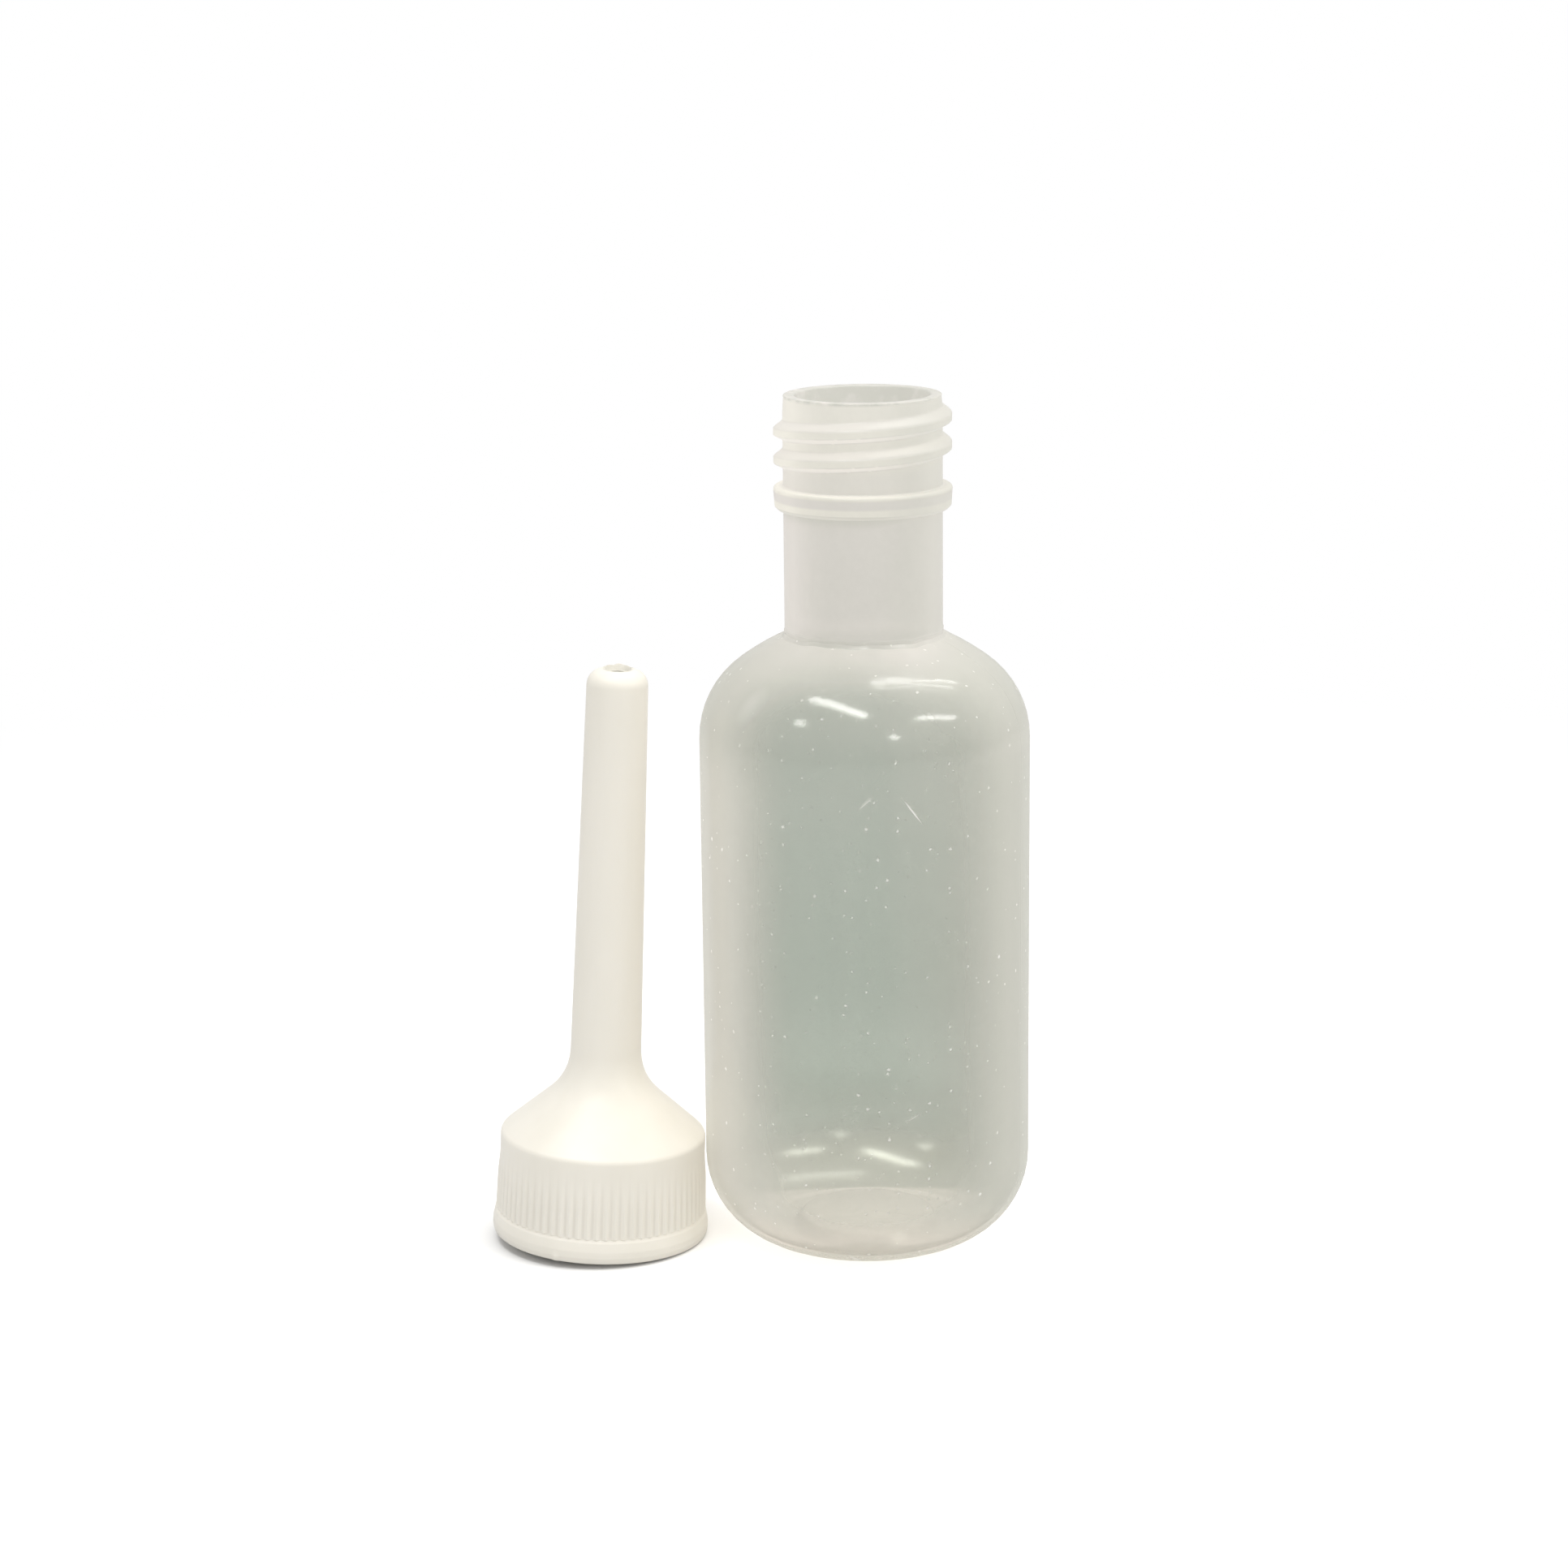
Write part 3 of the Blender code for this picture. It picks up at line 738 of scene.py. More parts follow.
        # The waxy skin mirrors 4% straight on and more at a slant, over haze and clear wall alike
        glance = add_node(tree, "ShaderNodeLayerWeight", {}, {"Blend": 0.5}, {"Normal": normal})
        steep = add_math(tree, "POWER", glance.outputs["Facing"], 5.0)
        # At the back of the heel both faces of the wall and the table under it mirror together
        behind = add_math(
            tree, "MULTIPLY", add_step(tree, split.outputs["Z"], 11 * MM, 7 * MM, 0.09),
            add_step(tree, split.outputs["Y"], -2 * MM, 4 * MM),
        )
        mirrored = add_math(tree, "MULTIPLY_ADD", steep, 0.3, add_math(tree, "ADD", behind, 0.04))
        # The blown body has a closer gloss than the neck, whose thread was pressed
        rough = add_math(tree, "MULTIPLY_ADD", necked, 0.18, add_math(tree, "ADD", behind, 0.12))
        gloss = add_node(
            tree, "ShaderNodeBsdfGlossy", {}, {"Color": (1, 1, 1, 1)}, {"Normal": normal, "Roughness": rough},
        )
        skin = add_node(
            tree, "ShaderNodeMixShader", {}, {}, {0: mirrored, 1: wall.outputs[0], 2: gloss.outputs[0]},
        )
        # The haze scatters light forwards, so far more light gets through the wall than one sees through it
        path = add_node(tree, "ShaderNodeLightPath")
        passed = add_node(tree, "ShaderNodeBsdfTransparent", {}, {"Color": linear(self.clear_shade)})
        both = add_node(
            tree, "ShaderNodeMixShader", {}, {},
            {0: path.outputs["Is Camera Ray"], 1: passed.outputs[0], 2: skin.outputs[0]},
        )
        add_node(tree, "ShaderNodeOutputMaterial", {}, {}, {"Surface": both.outputs[0]})
        return made


@dataclass(frozen=True)
class WhitePolythene:
    """White polyethylene, injection moulded in a polished mould with a fine matt.

    Pigment makes it opaque and warm white, and light still spreads a little under the skin, which softens its
    ribs. The moulded skin has a low waxy gloss, faint orange peel and soft flow marks along the nozzle.
    """

    axis: Matrix
    name: str = "white_pe_injection_moulded"
    white: str = "E9E5DB"
    shade: str = "E3DFD4"
    roughness: float = 0.4
    ior: float = 1.51
    torn: str = "CECBC1"
    tip_height: float = 67 * MM
    gate_radius: float = 1.9 * MM
    painted_groove_shade: str = "D2CDC2"
    painted_groove_shade_share: float = 0.36
    rib_count: int = 72
    rib_foot: float = 2.7 * MM
    rib_top: float = 11.4 * MM
    peel_size: float = 0.45 * MM
    cloud_size: float = 9 * MM
    light_depth: float = 1.4 * MM

    def grooves(self, tree: bpy.types.NodeTree, place: bpy.types.NodeSocket) -> bpy.types.NodeSocket:
        """Draws the painted soft shade in the grooves between the grip ribs.

        Args:
            tree: The material's nodes.
            place: Coordinates on the cap's own axis.

        Returns:
            The share of the painted shade's tone.
        """
        split = add_node(tree, "ShaderNodeSeparateXYZ", {}, {}, {"Vector": place})
        angle = add_math(tree, "ARCTAN2", split.outputs["Y"], split.outputs["X"])
        turn = add_math(tree, "FRACT", add_math(tree, "MULTIPLY", angle, self.rib_count / math.tau))
        away = add_math(tree, "ABSOLUTE", add_math(tree, "SUBTRACT", turn, 0.5))
        above = add_step(tree, split.outputs["Z"], self.rib_foot, self.rib_foot + 0.5 * MM)
        below = add_step(tree, split.outputs["Z"], self.rib_top, self.rib_foot + 2 * MM, self.painted_groove_shade_share)
        flat = add_node(tree, "ShaderNodeMapping", {}, {"Scale": (1, 1, 0)}, {"Vector": place})
        radius = add_node(tree, "ShaderNodeVectorMath", {"operation": "LENGTH"}, {}, {0: flat.outputs["Vector"]})
        outer = add_step(tree, radius.outputs["Value"], 11.2 * MM, 11.5 * MM)
        band = add_math(tree, "MULTIPLY", add_math(tree, "MULTIPLY", above, below), outer)
        return add_math(tree, "MULTIPLY", add_step(tree, away, 0.24, 0.06), band)

    def build(self) -> bpy.types.Material:
        """Makes the material."""
        made = empty_material(self.name)
        tree = made.node_tree
        source = add_node(tree, "ShaderNodeTexCoord")
        # The pattern stands on the cap's own leaning axis
        place = add_node(
            tree, "ShaderNodeMapping", {"vector_type": "TEXTURE"},
            {"Location": self.axis.translation, "Rotation": self.axis.to_euler()},
            {"Vector": source.outputs["Object"]},
        ).outputs["Vector"]
        drawn = add_node(tree, "ShaderNodeMapping", {}, {"Scale": (1, 1, 0.25)}, {"Vector": place})
        clouds = add_node(
            tree, "ShaderNodeTexNoise", {}, {"Scale": 1 / self.cloud_size, "Detail": 3.0, "Roughness": 0.55},
            {"Vector": drawn.outputs["Vector"]},
        )
        tone = add_node(
            tree, "ShaderNodeMapRange", {}, {"From Min": 0.35, "From Max": 0.7}, {"Value": clouds.outputs["Fac"]},
        )
        colour = add_node(
            tree, "ShaderNodeMix", {"data_type": "RGBA"}, {}, {"Factor": tone.outputs["Result"]},
        )
        colour.inputs[6].default_value = linear(self.white)
        colour.inputs[7].default_value = linear(self.shade)
        # Painted shade in the grooves between the ribs
        grooved = add_node(
            tree, "ShaderNodeMix", {"data_type": "RGBA"}, {7: linear(self.painted_groove_shade)},
            {"Factor": self.grooves(tree, place), 6: colour.outputs[2]},
        )
        # Round the tip's recess, where the runner was torn off, the colour is greyer and darker
        spot = add_node(tree, "ShaderNodeMapping", {}, {"Location": (0, 0, -self.tip_height)}, {"Vector": place})
        away = add_node(
            tree, "ShaderNodeVectorMath", {"operation": "LENGTH"}, {}, {0: spot.outputs["Vector"]},
        ).outputs["Value"]
        gate = add_node(
            tree, "ShaderNodeMix", {"data_type": "RGBA"}, {7: linear(self.torn)},
            {"Factor": add_step(tree, away, self.gate_radius, self.gate_radius - 0.3 * MM), 6: grooved.outputs[2]},
        )
        peel = add_node(
            tree, "ShaderNodeTexNoise", {}, {"Scale": 1 / self.peel_size, "Detail": 2.0}, {"Vector": place},
        )
        gloss = add_node(
            tree, "ShaderNodeMapRange", {},
            {"From Min": 0.3, "From Max": 0.7, "To Min": self.roughness - 0.05, "To Max": self.roughness + 0.06},
            {"Value": clouds.outputs["Fac"]},
        )
        bump = add_node(
            tree, "ShaderNodeBump", {}, {"Strength": 0.3, "Distance": 0.012 * MM}, {"Height": peel.outputs["Fac"]},
        )
        shader = add_node(
            tree, "ShaderNodeBsdfPrincipled", {},
            {
                "IOR": self.ior, "Subsurface Weight": 0.2, "Subsurface Scale": self.light_depth,
                "Subsurface Radius": (1.0, 0.95, 0.85),
            },
            {
                "Base Color": gate.outputs[2], "Roughness": gloss.outputs["Result"],
                "Normal": bump.outputs["Normal"],
            },
        )
        add_node(tree, "ShaderNodeOutputMaterial", {}, {}, {"Surface": shader.outputs[0]})
        return made


@dataclass(frozen=True)
class ClosedCellFoam:
    """Expanded polyethylene sheet, die cut.

    It is matt and white, and its closed cells give a fine pebbled skin.
    """

    name: str = "expanded_pe_die_cut"
    white: str = "EFEEE9"
    hollow: str = "DEDCD5"
    cell_size: float = 0.3 * MM

    def build(self) -> bpy.types.Material:
        """Makes the material."""
        made = empty_material(self.name)
        tree = made.node_tree
        source = add_node(tree, "ShaderNodeTexCoord")
        cells = add_node(
            tree, "ShaderNodeTexVoronoi", {}, {"Scale": 1 / self.cell_size}, {"Vector": source.outputs["Object"]},
        )
        colour = add_node(tree, "ShaderNodeMix", {"data_type": "RGBA"}, {}, {"Factor": cells.outputs["Distance"]})
        colour.inputs[6].default_value = linear(self.white)
        colour.inputs[7].default_value = linear(self.hollow)
        bump = add_node(
            tree, "ShaderNodeBump", {"invert": True}, {"Strength": 0.5, "Distance": 0.05 * MM},
            {"Height": cells.outputs["Distance"]},
        )
        shader = add_node(
            tree, "ShaderNodeBsdfPrincipled", {}, {"Roughness": 0.75, "IOR": 1.45},
            {"Base Color": colour.outputs[2], "Normal": bump.outputs["Normal"]},
        )
        add_node(tree, "ShaderNodeOutputMaterial", {}, {}, {"Surface": shader.outputs[0]})
        return made


class Piece:
    """A sub-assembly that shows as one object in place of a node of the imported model."""

    name: str
    node: str
    body: Body
    slot: Slot

    def place(self, skin: bmesh.types.BMesh, material: bpy.types.Material, crease: float) -> bpy.types.Object:
        """Turns a finished skin into the shown object and lets it ride on its body.

        Args:
            skin: The skin, already in its place.
            material: Its finish.
            crease: The angle past which two faces meet in a crisp edge.

        Returns:
            The shown object.
        """
        mesh = bpy.data.meshes.new(self.name)
        skin.to_mesh(mesh)
        skin.free()
        mesh.shade_smooth()
        mesh.set_sharp_from_angle(angle=crease)
        mesh.materials.append(material)
        shown = bpy.data.objects.new(self.name, mesh)
        bpy.context.scene.collection.objects.link(shown)
        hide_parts(self.node)
        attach(shown, self.body.value)
        LOG.info("%s: %d faces, stands for %s", self.name, len(mesh.polygons), self.node)
        return shown


@dataclass
class SqueezeBottle(Piece):
    """The blow-moulded bottle with its threaded neck, as one skin outside and inside."""

    name: str = "squeeze_bottle"
    node: str = "bottle"
    body: Body = Body.BOTTLE
    slot: Slot = Slot.NATURAL
    axis_x: float = 12.555 * MM
    height: float = 98.51 * MM
    body_radius: float = 18.8 * MM
    wall: float = 0.8 * MM
    shoulder_slope: float = math.radians(30.6)
    shoulder_fillet: float = 10.8 * MM
    crown_slopes: tuple[float, ...] = (25.5, 28.5, 31.5, 34.0)
    crown_step: float = 1.35 * MM
    crown_sag: float = 0.67 * MM
    heel_fillet: float = 10.2 * MM
    ring_width: float = 0.7 * MM
    push_up_height: float = 1.6 * MM
    push_up_edge: float = 1.1 * MM
    push_up_fillet: float = 0.5 * MM
    neck_radius: float = 8.95 * MM
    neck_height: float = 27 * MM
    neck_fillet: float = 0.5 * MM
    lip_reach: float = 0.08 * MM
    bore_radius: float = 7.6 * MM
    rim_radius: float = 8.83 * MM
    rim_chamfer: float = 0.25 * MM
    rim_fillet: float = 0.25 * MM
    collar_radius: float = 10.08 * MM
    collar_drop: float = 10.18 * MM
    collar_depth: float = 2.6 * MM
    collar_draft: float = 0.15 * MM
    collar_chamfer: float = 0.35 * MM
    collar_fillet: float = 0.4 * MM
    thread_drop: float = 2.04 * MM
    thread_row: float = 0.13 * MM
    sides: int = 192

    @property
    def neck_foot(self) -> float:
        """The height at which the neck meets the shoulder."""
        return self.height - self.neck_height

    def outside(self) -> tuple[Corner, ...]:
        """The outer outline, from the rim down to the middle of the base."""
        collar_top = self.height - self.collar_drop
        collar_foot = collar_top - self.collar_depth
        foot_radius = self.collar_radius - self.collar_draft
        fall = (self.body_radius - self.neck_radius) * math.tan(self.shoulder_slope)
        ring_inner = self.body_radius - self.heel_fillet - self.ring_width
        soft = 0.12 * MM
        return (
            Corner(self.bore_radius, self.height, self.rim_fillet),
            Corner(self.rim_radius - self.rim_chamfer / 4, self.height, soft),
            Corner(self.rim_radius + soft / 2, self.height - self.rim_chamfer / 2, soft),
            Corner(self.rim_radius, self.height - self.rim_chamfer, soft),
            Corner(self.neck_radius, self.height - self.thread_drop, 0, self.thread_row),
            Corner(self.neck_radius, collar_top, self.collar_fillet / 2, self.thread_row),
            Corner(self.collar_radius, collar_top, self.collar_fillet),
            Corner(foot_radius, collar_foot + self.collar_chamfer, soft),
            Corner(foot_radius - self.collar_chamfer, collar_foot, soft),
            Corner(self.neck_radius, collar_foot, soft),
            Corner(self.neck_radius, self.neck_foot + 0.75 * MM, 0.3 * MM, 2 * MM),
            Corner(self.neck_radius + self.lip_reach, self.neck_foot + 0.48 * MM, 0.1 * MM),
            Corner(self.neck_radius + 0.03 * MM, self.neck_foot + 0.15 * MM, 0.12 * MM),
            Corner(self.neck_radius + 0.3 * MM, self.neck_foot - 0.28 * MM, 0.1 * MM),
            *self.crown(self.neck_radius + 0.3 * MM, self.neck_foot - 0.28 * MM),
            Corner(self.body_radius, self.neck_foot - fall - self.crown_sag, self.shoulder_fillet, 1 * MM),
            Corner(self.body_radius, 0, self.heel_fillet, 3 * MM),
            Corner(ring_inner, 0, soft),
            Corner(ring_inner - self.push_up_edge, self.push_up_height, self.push_up_fillet),
            Corner(0, self.push_up_height, 0, 1.5 * MM),
        )

    def inside(self) -> tuple[Corner, ...]:
        """The inner outline, from the middle of the floor up to the rim."""
        inner = self.body_radius - self.wall
        fall = (self.body_radius - self.neck_radius) * math.tan(self.shoulder_slope)
        dome = self.body_radius - self.heel_fillet - self.ring_width - self.push_up_edge + self.wall
        crown_start = self.neck_radius - 0.04 * MM
        crown_top = self.neck_foot - 0.28 * MM - 0.9 * self.wall
        return (
            Corner(0, self.push_up_height + self.wall),
            Corner(dome, self.push_up_height + self.wall, self.push_up_fillet, 1.5 * MM),
            Corner(dome + self.push_up_edge, self.wall, self.push_up_fillet),
            Corner(inner, self.wall, self.heel_fillet - self.wall),
            Corner(inner, self.neck_foot - fall - self.crown_sag - self.wall / 2, self.shoulder_fillet - self.wall, 3 * MM),
            *reversed(self.crown(crown_start, crown_top)),
            Corner(crown_start, crown_top),
            Corner(self.bore_radius, crown_top + 0.61 * MM, self.neck_fillet),
        )

    def crown(self, radius: float, height: float) -> list[Corner]:
        """Draws the shoulder's upper part, which gets steeper from step to step.

        Args:
            radius: Where it starts beside the neck.
            height: The height there.

        Returns:
            The end of each step.
        """
        corners = []
        for slope in map(math.radians, self.crown_slopes):
            radius += self.crown_step * math.cos(slope)
            height -= self.crown_step * math.sin(slope)
            corners.append(Corner(radius, height))
        return corners

    def thread(self) -> ThreadRidge:
        """The neck's thread, which takes the cap in under two turns."""
        return ThreadRidge(
            wall=self.neck_radius, side=Side.OUTWARDS, top=self.height - self.thread_drop,
            end=math.radians(52.5), swept=math.radians(637.5), lower_flank=0.6 * MM, upper_flank=0.95 * MM,
        )

    def wave_lip(self, skin: bmesh.types.BMesh) -> None:
        """Lets the fine lip at the neck's foot, where the neck ring of the mould ended, run a little unevenly.

        Args:
            skin: The turned skin on its own axis.
        """
        for vertex in skin.verts:
            x, y, z = vertex.co
            radius = math.hypot(x, y)
            if abs(z - self.neck_foot - 0.3 * MM) > 0.75 * MM or abs(radius - self.neck_radius) > 0.35 * MM:
                continue
            angle = math.atan2(y, x)
            drift = 0.09 * math.sin(3 * angle + 1.1) + 0.05 * math.sin(8 * angle) + 0.04 * math.sin(17 * angle + 2)
            swell = 0.5 * math.sin(6 * angle + 0.4) + 0.5 * math.sin(19 * angle + 1.3)
            vertex.co.z += drift * MM
            past = max(0.0, radius - self.neck_radius - 0.03 * MM)
            if z > self.neck_foot:
                factor = 1 + past * 0.5 * swell / radius
                vertex.co.x *= factor
                vertex.co.y *= factor

    def marks(self) -> tuple[ScratchMark, ...]:
        """The scrapes that handling left on the front of the body."""
        front = -self.body_radius
        return (
            ScratchMark(-0.4 * MM, front, 56.0 * MM, 1.4 * MM, 0.15 * MM, math.radians(-42), 0.35),
            ScratchMark(4.9 * MM, front, 54.8 * MM, 2.4 * MM, 0.13 * MM, math.radians(54), 0.6),
            ScratchMark(11.1 * MM, front, 54.5 * MM, 4.6 * MM, 0.12 * MM, math.radians(-79), 0.4),
            ScratchMark(4.8 * MM, front, 19.8 * MM, 1.5 * MM, 0.15 * MM, math.radians(-24), 0.3),
            ScratchMark(-7.3 * MM, front, 66.0 * MM, 2.8 * MM, 0.16 * MM, math.radians(86), 0.4),
            ScratchMark(-13.0 * MM, -12.4 * MM, 66.0 * MM, 4.4 * MM, 1.7 * MM, math.radians(-52), 0.16),
            ScratchMark(-1.7 * MM, -13.0 * MM, 1.6 * MM, 1.9 * MM, 0.5 * MM, math.radians(49), 0.4),
        )

    def build(self) -> bpy.types.Object:
        """Makes the bottle."""
        skin = Outline(self.inside() + self.outside()).turned(self.sides)
        self.thread().shape(skin)
        self.wave_lip(skin)
        axis = Vector((self.axis_x, 0, 0))
        bmesh.ops.translate(skin, verts=skin.verts[:], vec=axis)
        finish = NaturalPolythene(
            axis=axis, height=self.height, neck_foot=self.neck_foot, marks=self.marks(),
        )
        return self.place(skin, finish.build(), math.radians(50))


@dataclass(frozen=True)
class GripRibs:
    """Fine upright ribs round the skirt, which sink into it towards its top."""

    count: int = 72
    crest: float = 0.3 * MM
    foot: float = 0.54 * MM

    def share(self, angle: float, radius: float) -> float:
        """How high a point stands between the valley and the crest of the ribs.

        Args:
            angle: The azimuth about the cap's axis.
            radius: The skirt's radius.

        Returns:
            0 in a valley and 1 on a crest.
        """
        pitch = math.tau / self.count
        away = abs((angle + pitch / 2) % pitch - pitch / 2) * radius
        return eased(self.foot / 2, self.crest / 2, away)


@dataclass
class NozzleCap(Piece):
    """The injection-moulded cap: ribbed skirt, foot bead, cone, nozzle and tip, with the socket inside."""

    name: str = "nozzle_cap_moulding"
    node: str = "nozzle_cap"
    body: Body = Body.CAP
    slot: Slot = Slot.WHITE
    foot_x: float = -18.848 * MM
    foot_z: float = 0.644 * MM
    lean: float = math.radians(3)
    height: float = 67 * MM
    socket_radius: float = 10.35 * MM
    skirt_radius: float = 12.27 * MM
    skirt_top_radius: float = 11.93 * MM
    skirt_height: float = 12.07 * MM
    skirt_edge: float = 0.9 * MM
    land_height: float = 10.84 * MM
    bead_height: float = 2.9 * MM
    bead_reach: float = 0.67 * MM
    bead_fillet: float = 0.3 * MM
    rib_height: float = 0.18 * MM
    rib_fade_drop: float = 2.2 * MM
    cone_slope: float = math.radians(41)
    cone_wall: float = 1.5 * MM
    cavity_radius: float = 7.6 * MM
    flare: float = 7 * MM
    cavity_flare: float = 4 * MM
    root_radius: float = 4.15 * MM
    tip_radius: float = 3.48 * MM
    nozzle_wall: float = 1.3 * MM
    tip_fillet: float = 1.9 * MM
    tip_wall: float = 1.6 * MM
    recess_radius: float = 1.55 * MM
    recess_depth: float = 0.35 * MM
    orifice_radius: float = 0.8 * MM
    flash_azimuth: float = math.radians(-112)
    sides: int = 360

    @property
    def stand(self) -> Matrix:
        """The cap's own frame, foot down on the ground and leaning towards the bottle."""
        return Matrix.Translation((self.foot_x, 0, self.foot_z)) @ Matrix.Rotation(self.lean, 4, "Y")

    def outside(self) -> tuple[Corner, ...]:
        """The outer outline without ribs, from the tip's recess down to the socket's mouth."""
        nozzle_root = self.skirt_height + (self.skirt_top_radius - self.root_radius) * math.tan(self.cone_slope)
        bead = self.skirt_radius + self.bead_reach / 2
        return (
            Corner(self.orifice_radius, self.height - self.recess_depth),
            Corner(self.recess_radius - self.recess_depth, self.height - self.recess_depth, 0.12 * MM, 0.3 * MM),
            Corner(self.recess_radius, self.height, 0.12 * MM),
            Corner(self.tip_radius, self.height, self.tip_fillet, 0.2 * MM),
            Corner(self.root_radius, nozzle_root, self.flare, 4 * MM),
            Corner(self.skirt_top_radius, self.skirt_height, self.skirt_edge, 2 * MM),
            Corner(self.skirt_top_radius, self.skirt_height - self.rib_fade_drop),
            Corner(self.skirt_radius - self.rib_height, self.bead_height, 0.12 * MM, 0.9 * MM),
            Corner(self.skirt_radius + self.bead_reach / 8, self.bead_height - 0.4 * MM, self.bead_fillet),
            Corner(bead - 0.03 * MM, self.bead_height / 2, 1.2 * MM),
            Corner(bead - 0.03 * MM, self.bead_height / 4, 0.6 * MM),
            Corner(self.skirt_radius + self.bead_reach / 4, 0, 0.4 * MM),
        )

    def inside(self) -> tuple[Corner, ...]:
        """The inner outline, from the socket's mouth up through the land to the orifice."""
        drop = self.cone_wall / math.cos(self.cone_slope)
        root = self.root_radius - self.nozzle_wall
        rise = math.tan(self.cone_slope)
        cone_foot = self.skirt_height - drop + (self.skirt_top_radius - self.cavity_radius) * rise
        cone_top = self.skirt_height - drop + (self.skirt_top_radius - root) * rise
        inner_tip = self.height - self.tip_wall
        return (
            Corner(self.socket_radius, 0, 0.2 * MM),
            Corner(self.socket_radius, self.land_height, 0, 0.19 * MM),
            Corner(self.cavity_radius, self.land_height, 0.15 * MM),
            Corner(self.cavity_radius, cone_foot, 0.15 * MM),
            Corner(root, cone_top, self.cavity_flare, 2 * MM),
            Corner(self.tip_radius - self.nozzle_wall, inner_tip, 0.4 * MM, 4 * MM),
            Corner(self.orifice_radius, inner_tip),
        )

    def thread(self) -> ThreadRidge:
        """The socket's thread, which meets the neck's."""
        return ThreadRidge(
            wall=self.socket_radius, side=Side.INWARDS, top=6.065 * MM, end=0.0,
            swept=math.radians(450), lower_flank=0.95 * MM, upper_flank=0.6 * MM,
        )

    def raise_ribs(self, skin: bmesh.types.BMesh) -> None:
        """Raises the grip ribs out of the skirt.

        Args:
            skin: The turned skin, upright on its own axis.
        """
        ribs = GripRibs()
        top = self.skirt_height - self.rib_fade_drop
        for vertex in skin.verts:
            x, y, z = vertex.co
            radius = math.hypot(x, y)
            if radius < self.socket_radius + 1 * MM or not self.bead_height - 0.02 * MM < z < top + 0.02 * MM:
                continue
            share = (z - self.bead_height) / (top - self.bead_height)
            height = self.rib_height * (1 - eased(0.55, 1.0, share)) * (1 - 0.25 * share)
            factor = 1 + height * ribs.share(math.atan2(y, x), radius) / radius
            vertex.co.x *= factor
            vertex.co.y *= factor

    def leave_flash(self, skin: bmesh.types.BMesh) -> None:
        """Leaves the small tag of flash that stuck out of the bead's foot.

        Args:
            skin: The turned skin, upright on its own axis.
        """
        for vertex in skin.verts:
            x, y, z = vertex.co
            radius = math.hypot(x, y)
            if radius < self.skirt_radius - 0.1 * MM or z > 1 * MM:
                continue
            away = (math.atan2(y, x) - self.flash_azimuth) * radius
            factor = 1 + 0.14 * MM * eased(0.55 * MM, 0.1 * MM, abs(away)) * eased(1 * MM, 0.5 * MM, z) / radius
            vertex.co.x *= factor
            vertex.co.y *= factor

    def tear_tip(self, skin: bmesh.types.BMesh) -> None:
        """Raises the torn lip that the runner left round the recess of the tip.

        Args:
            skin: The turned skin, upright on its own axis.
        """
        for vertex in skin.verts:
            x, y, z = vertex.co
            radius = math.hypot(x, y)
            if z < self.height - 0.2 * MM or radius > 2 * MM:
                continue
            angle = math.atan2(y, x)
            ring = eased(0.5 * MM, 0, abs(radius - self.recess_radius))
            torn = 0.5 + 0.5 * math.sin(angle) + 0.16 * math.sin(5 * angle + 0.6) + 0.1 * math.sin(9 * angle)
            nick = 1 - eased(0.3, 0.1, abs(abs(angle) - 3.05))
            vertex.co.z += 0.34 * MM * ring * max(0.0, torn - 0.25) * nick

    def build(self) -> bpy.types.Object:
        """Makes the cap."""
        outline = Outline(self.outside() + self.inside(), closed=True, arc_step=math.radians(9))
        skin = outline.turned(self.sides)
        self.thread().shape(skin)
        self.raise_ribs(skin)
        self.leave_flash(skin)
        self.tear_tip(skin)
        bmesh.ops.transform(skin, matrix=self.stand, verts=skin.verts[:])
        return self.place(skin, WhitePolythene(axis=self.stand).build(), math.radians(40))


@dataclass
class SealingWasher(Piece):
    """The flat ring that seals the bottle's rim against the cap's land."""

    name: str = "sealing_washer_ring"
    node: str = "sealing_washer"
    body: Body = Body.WASHER
    slot: Slot = Slot.FOAM
    inner_radius: float = 7 * MM
    outer_radius: float = 10.05 * MM
    face: float = 9.54 * MM
    thickness: float = 1 * MM
    edge: float = 0.15 * MM
    sides: int = 128

    def build(self, stand: Matrix) -> bpy.types.Object:
        """Makes the washer.

        Args:
            stand: The cap's own frame.

        Returns:
            The shown ring.
        """
        top = self.face + self.thickness
        outline = Outline((
            Corner((self.inner_radius + self.outer_radius) / 2, top),
            Corner(self.outer_radius, top, self.edge),
            Corner(self.outer_radius, self.face, self.edge),
            Corner(self.inner_radius, self.face, self.edge),
            Corner(self.inner_radius, top, self.edge),
        ), closed=True)
        skin = outline.turned(self.sides)
        bmesh.ops.transform(skin, matrix=stand, verts=skin.verts[:])
        return self.place(skin, ClosedCellFoam().build(), math.radians(40))


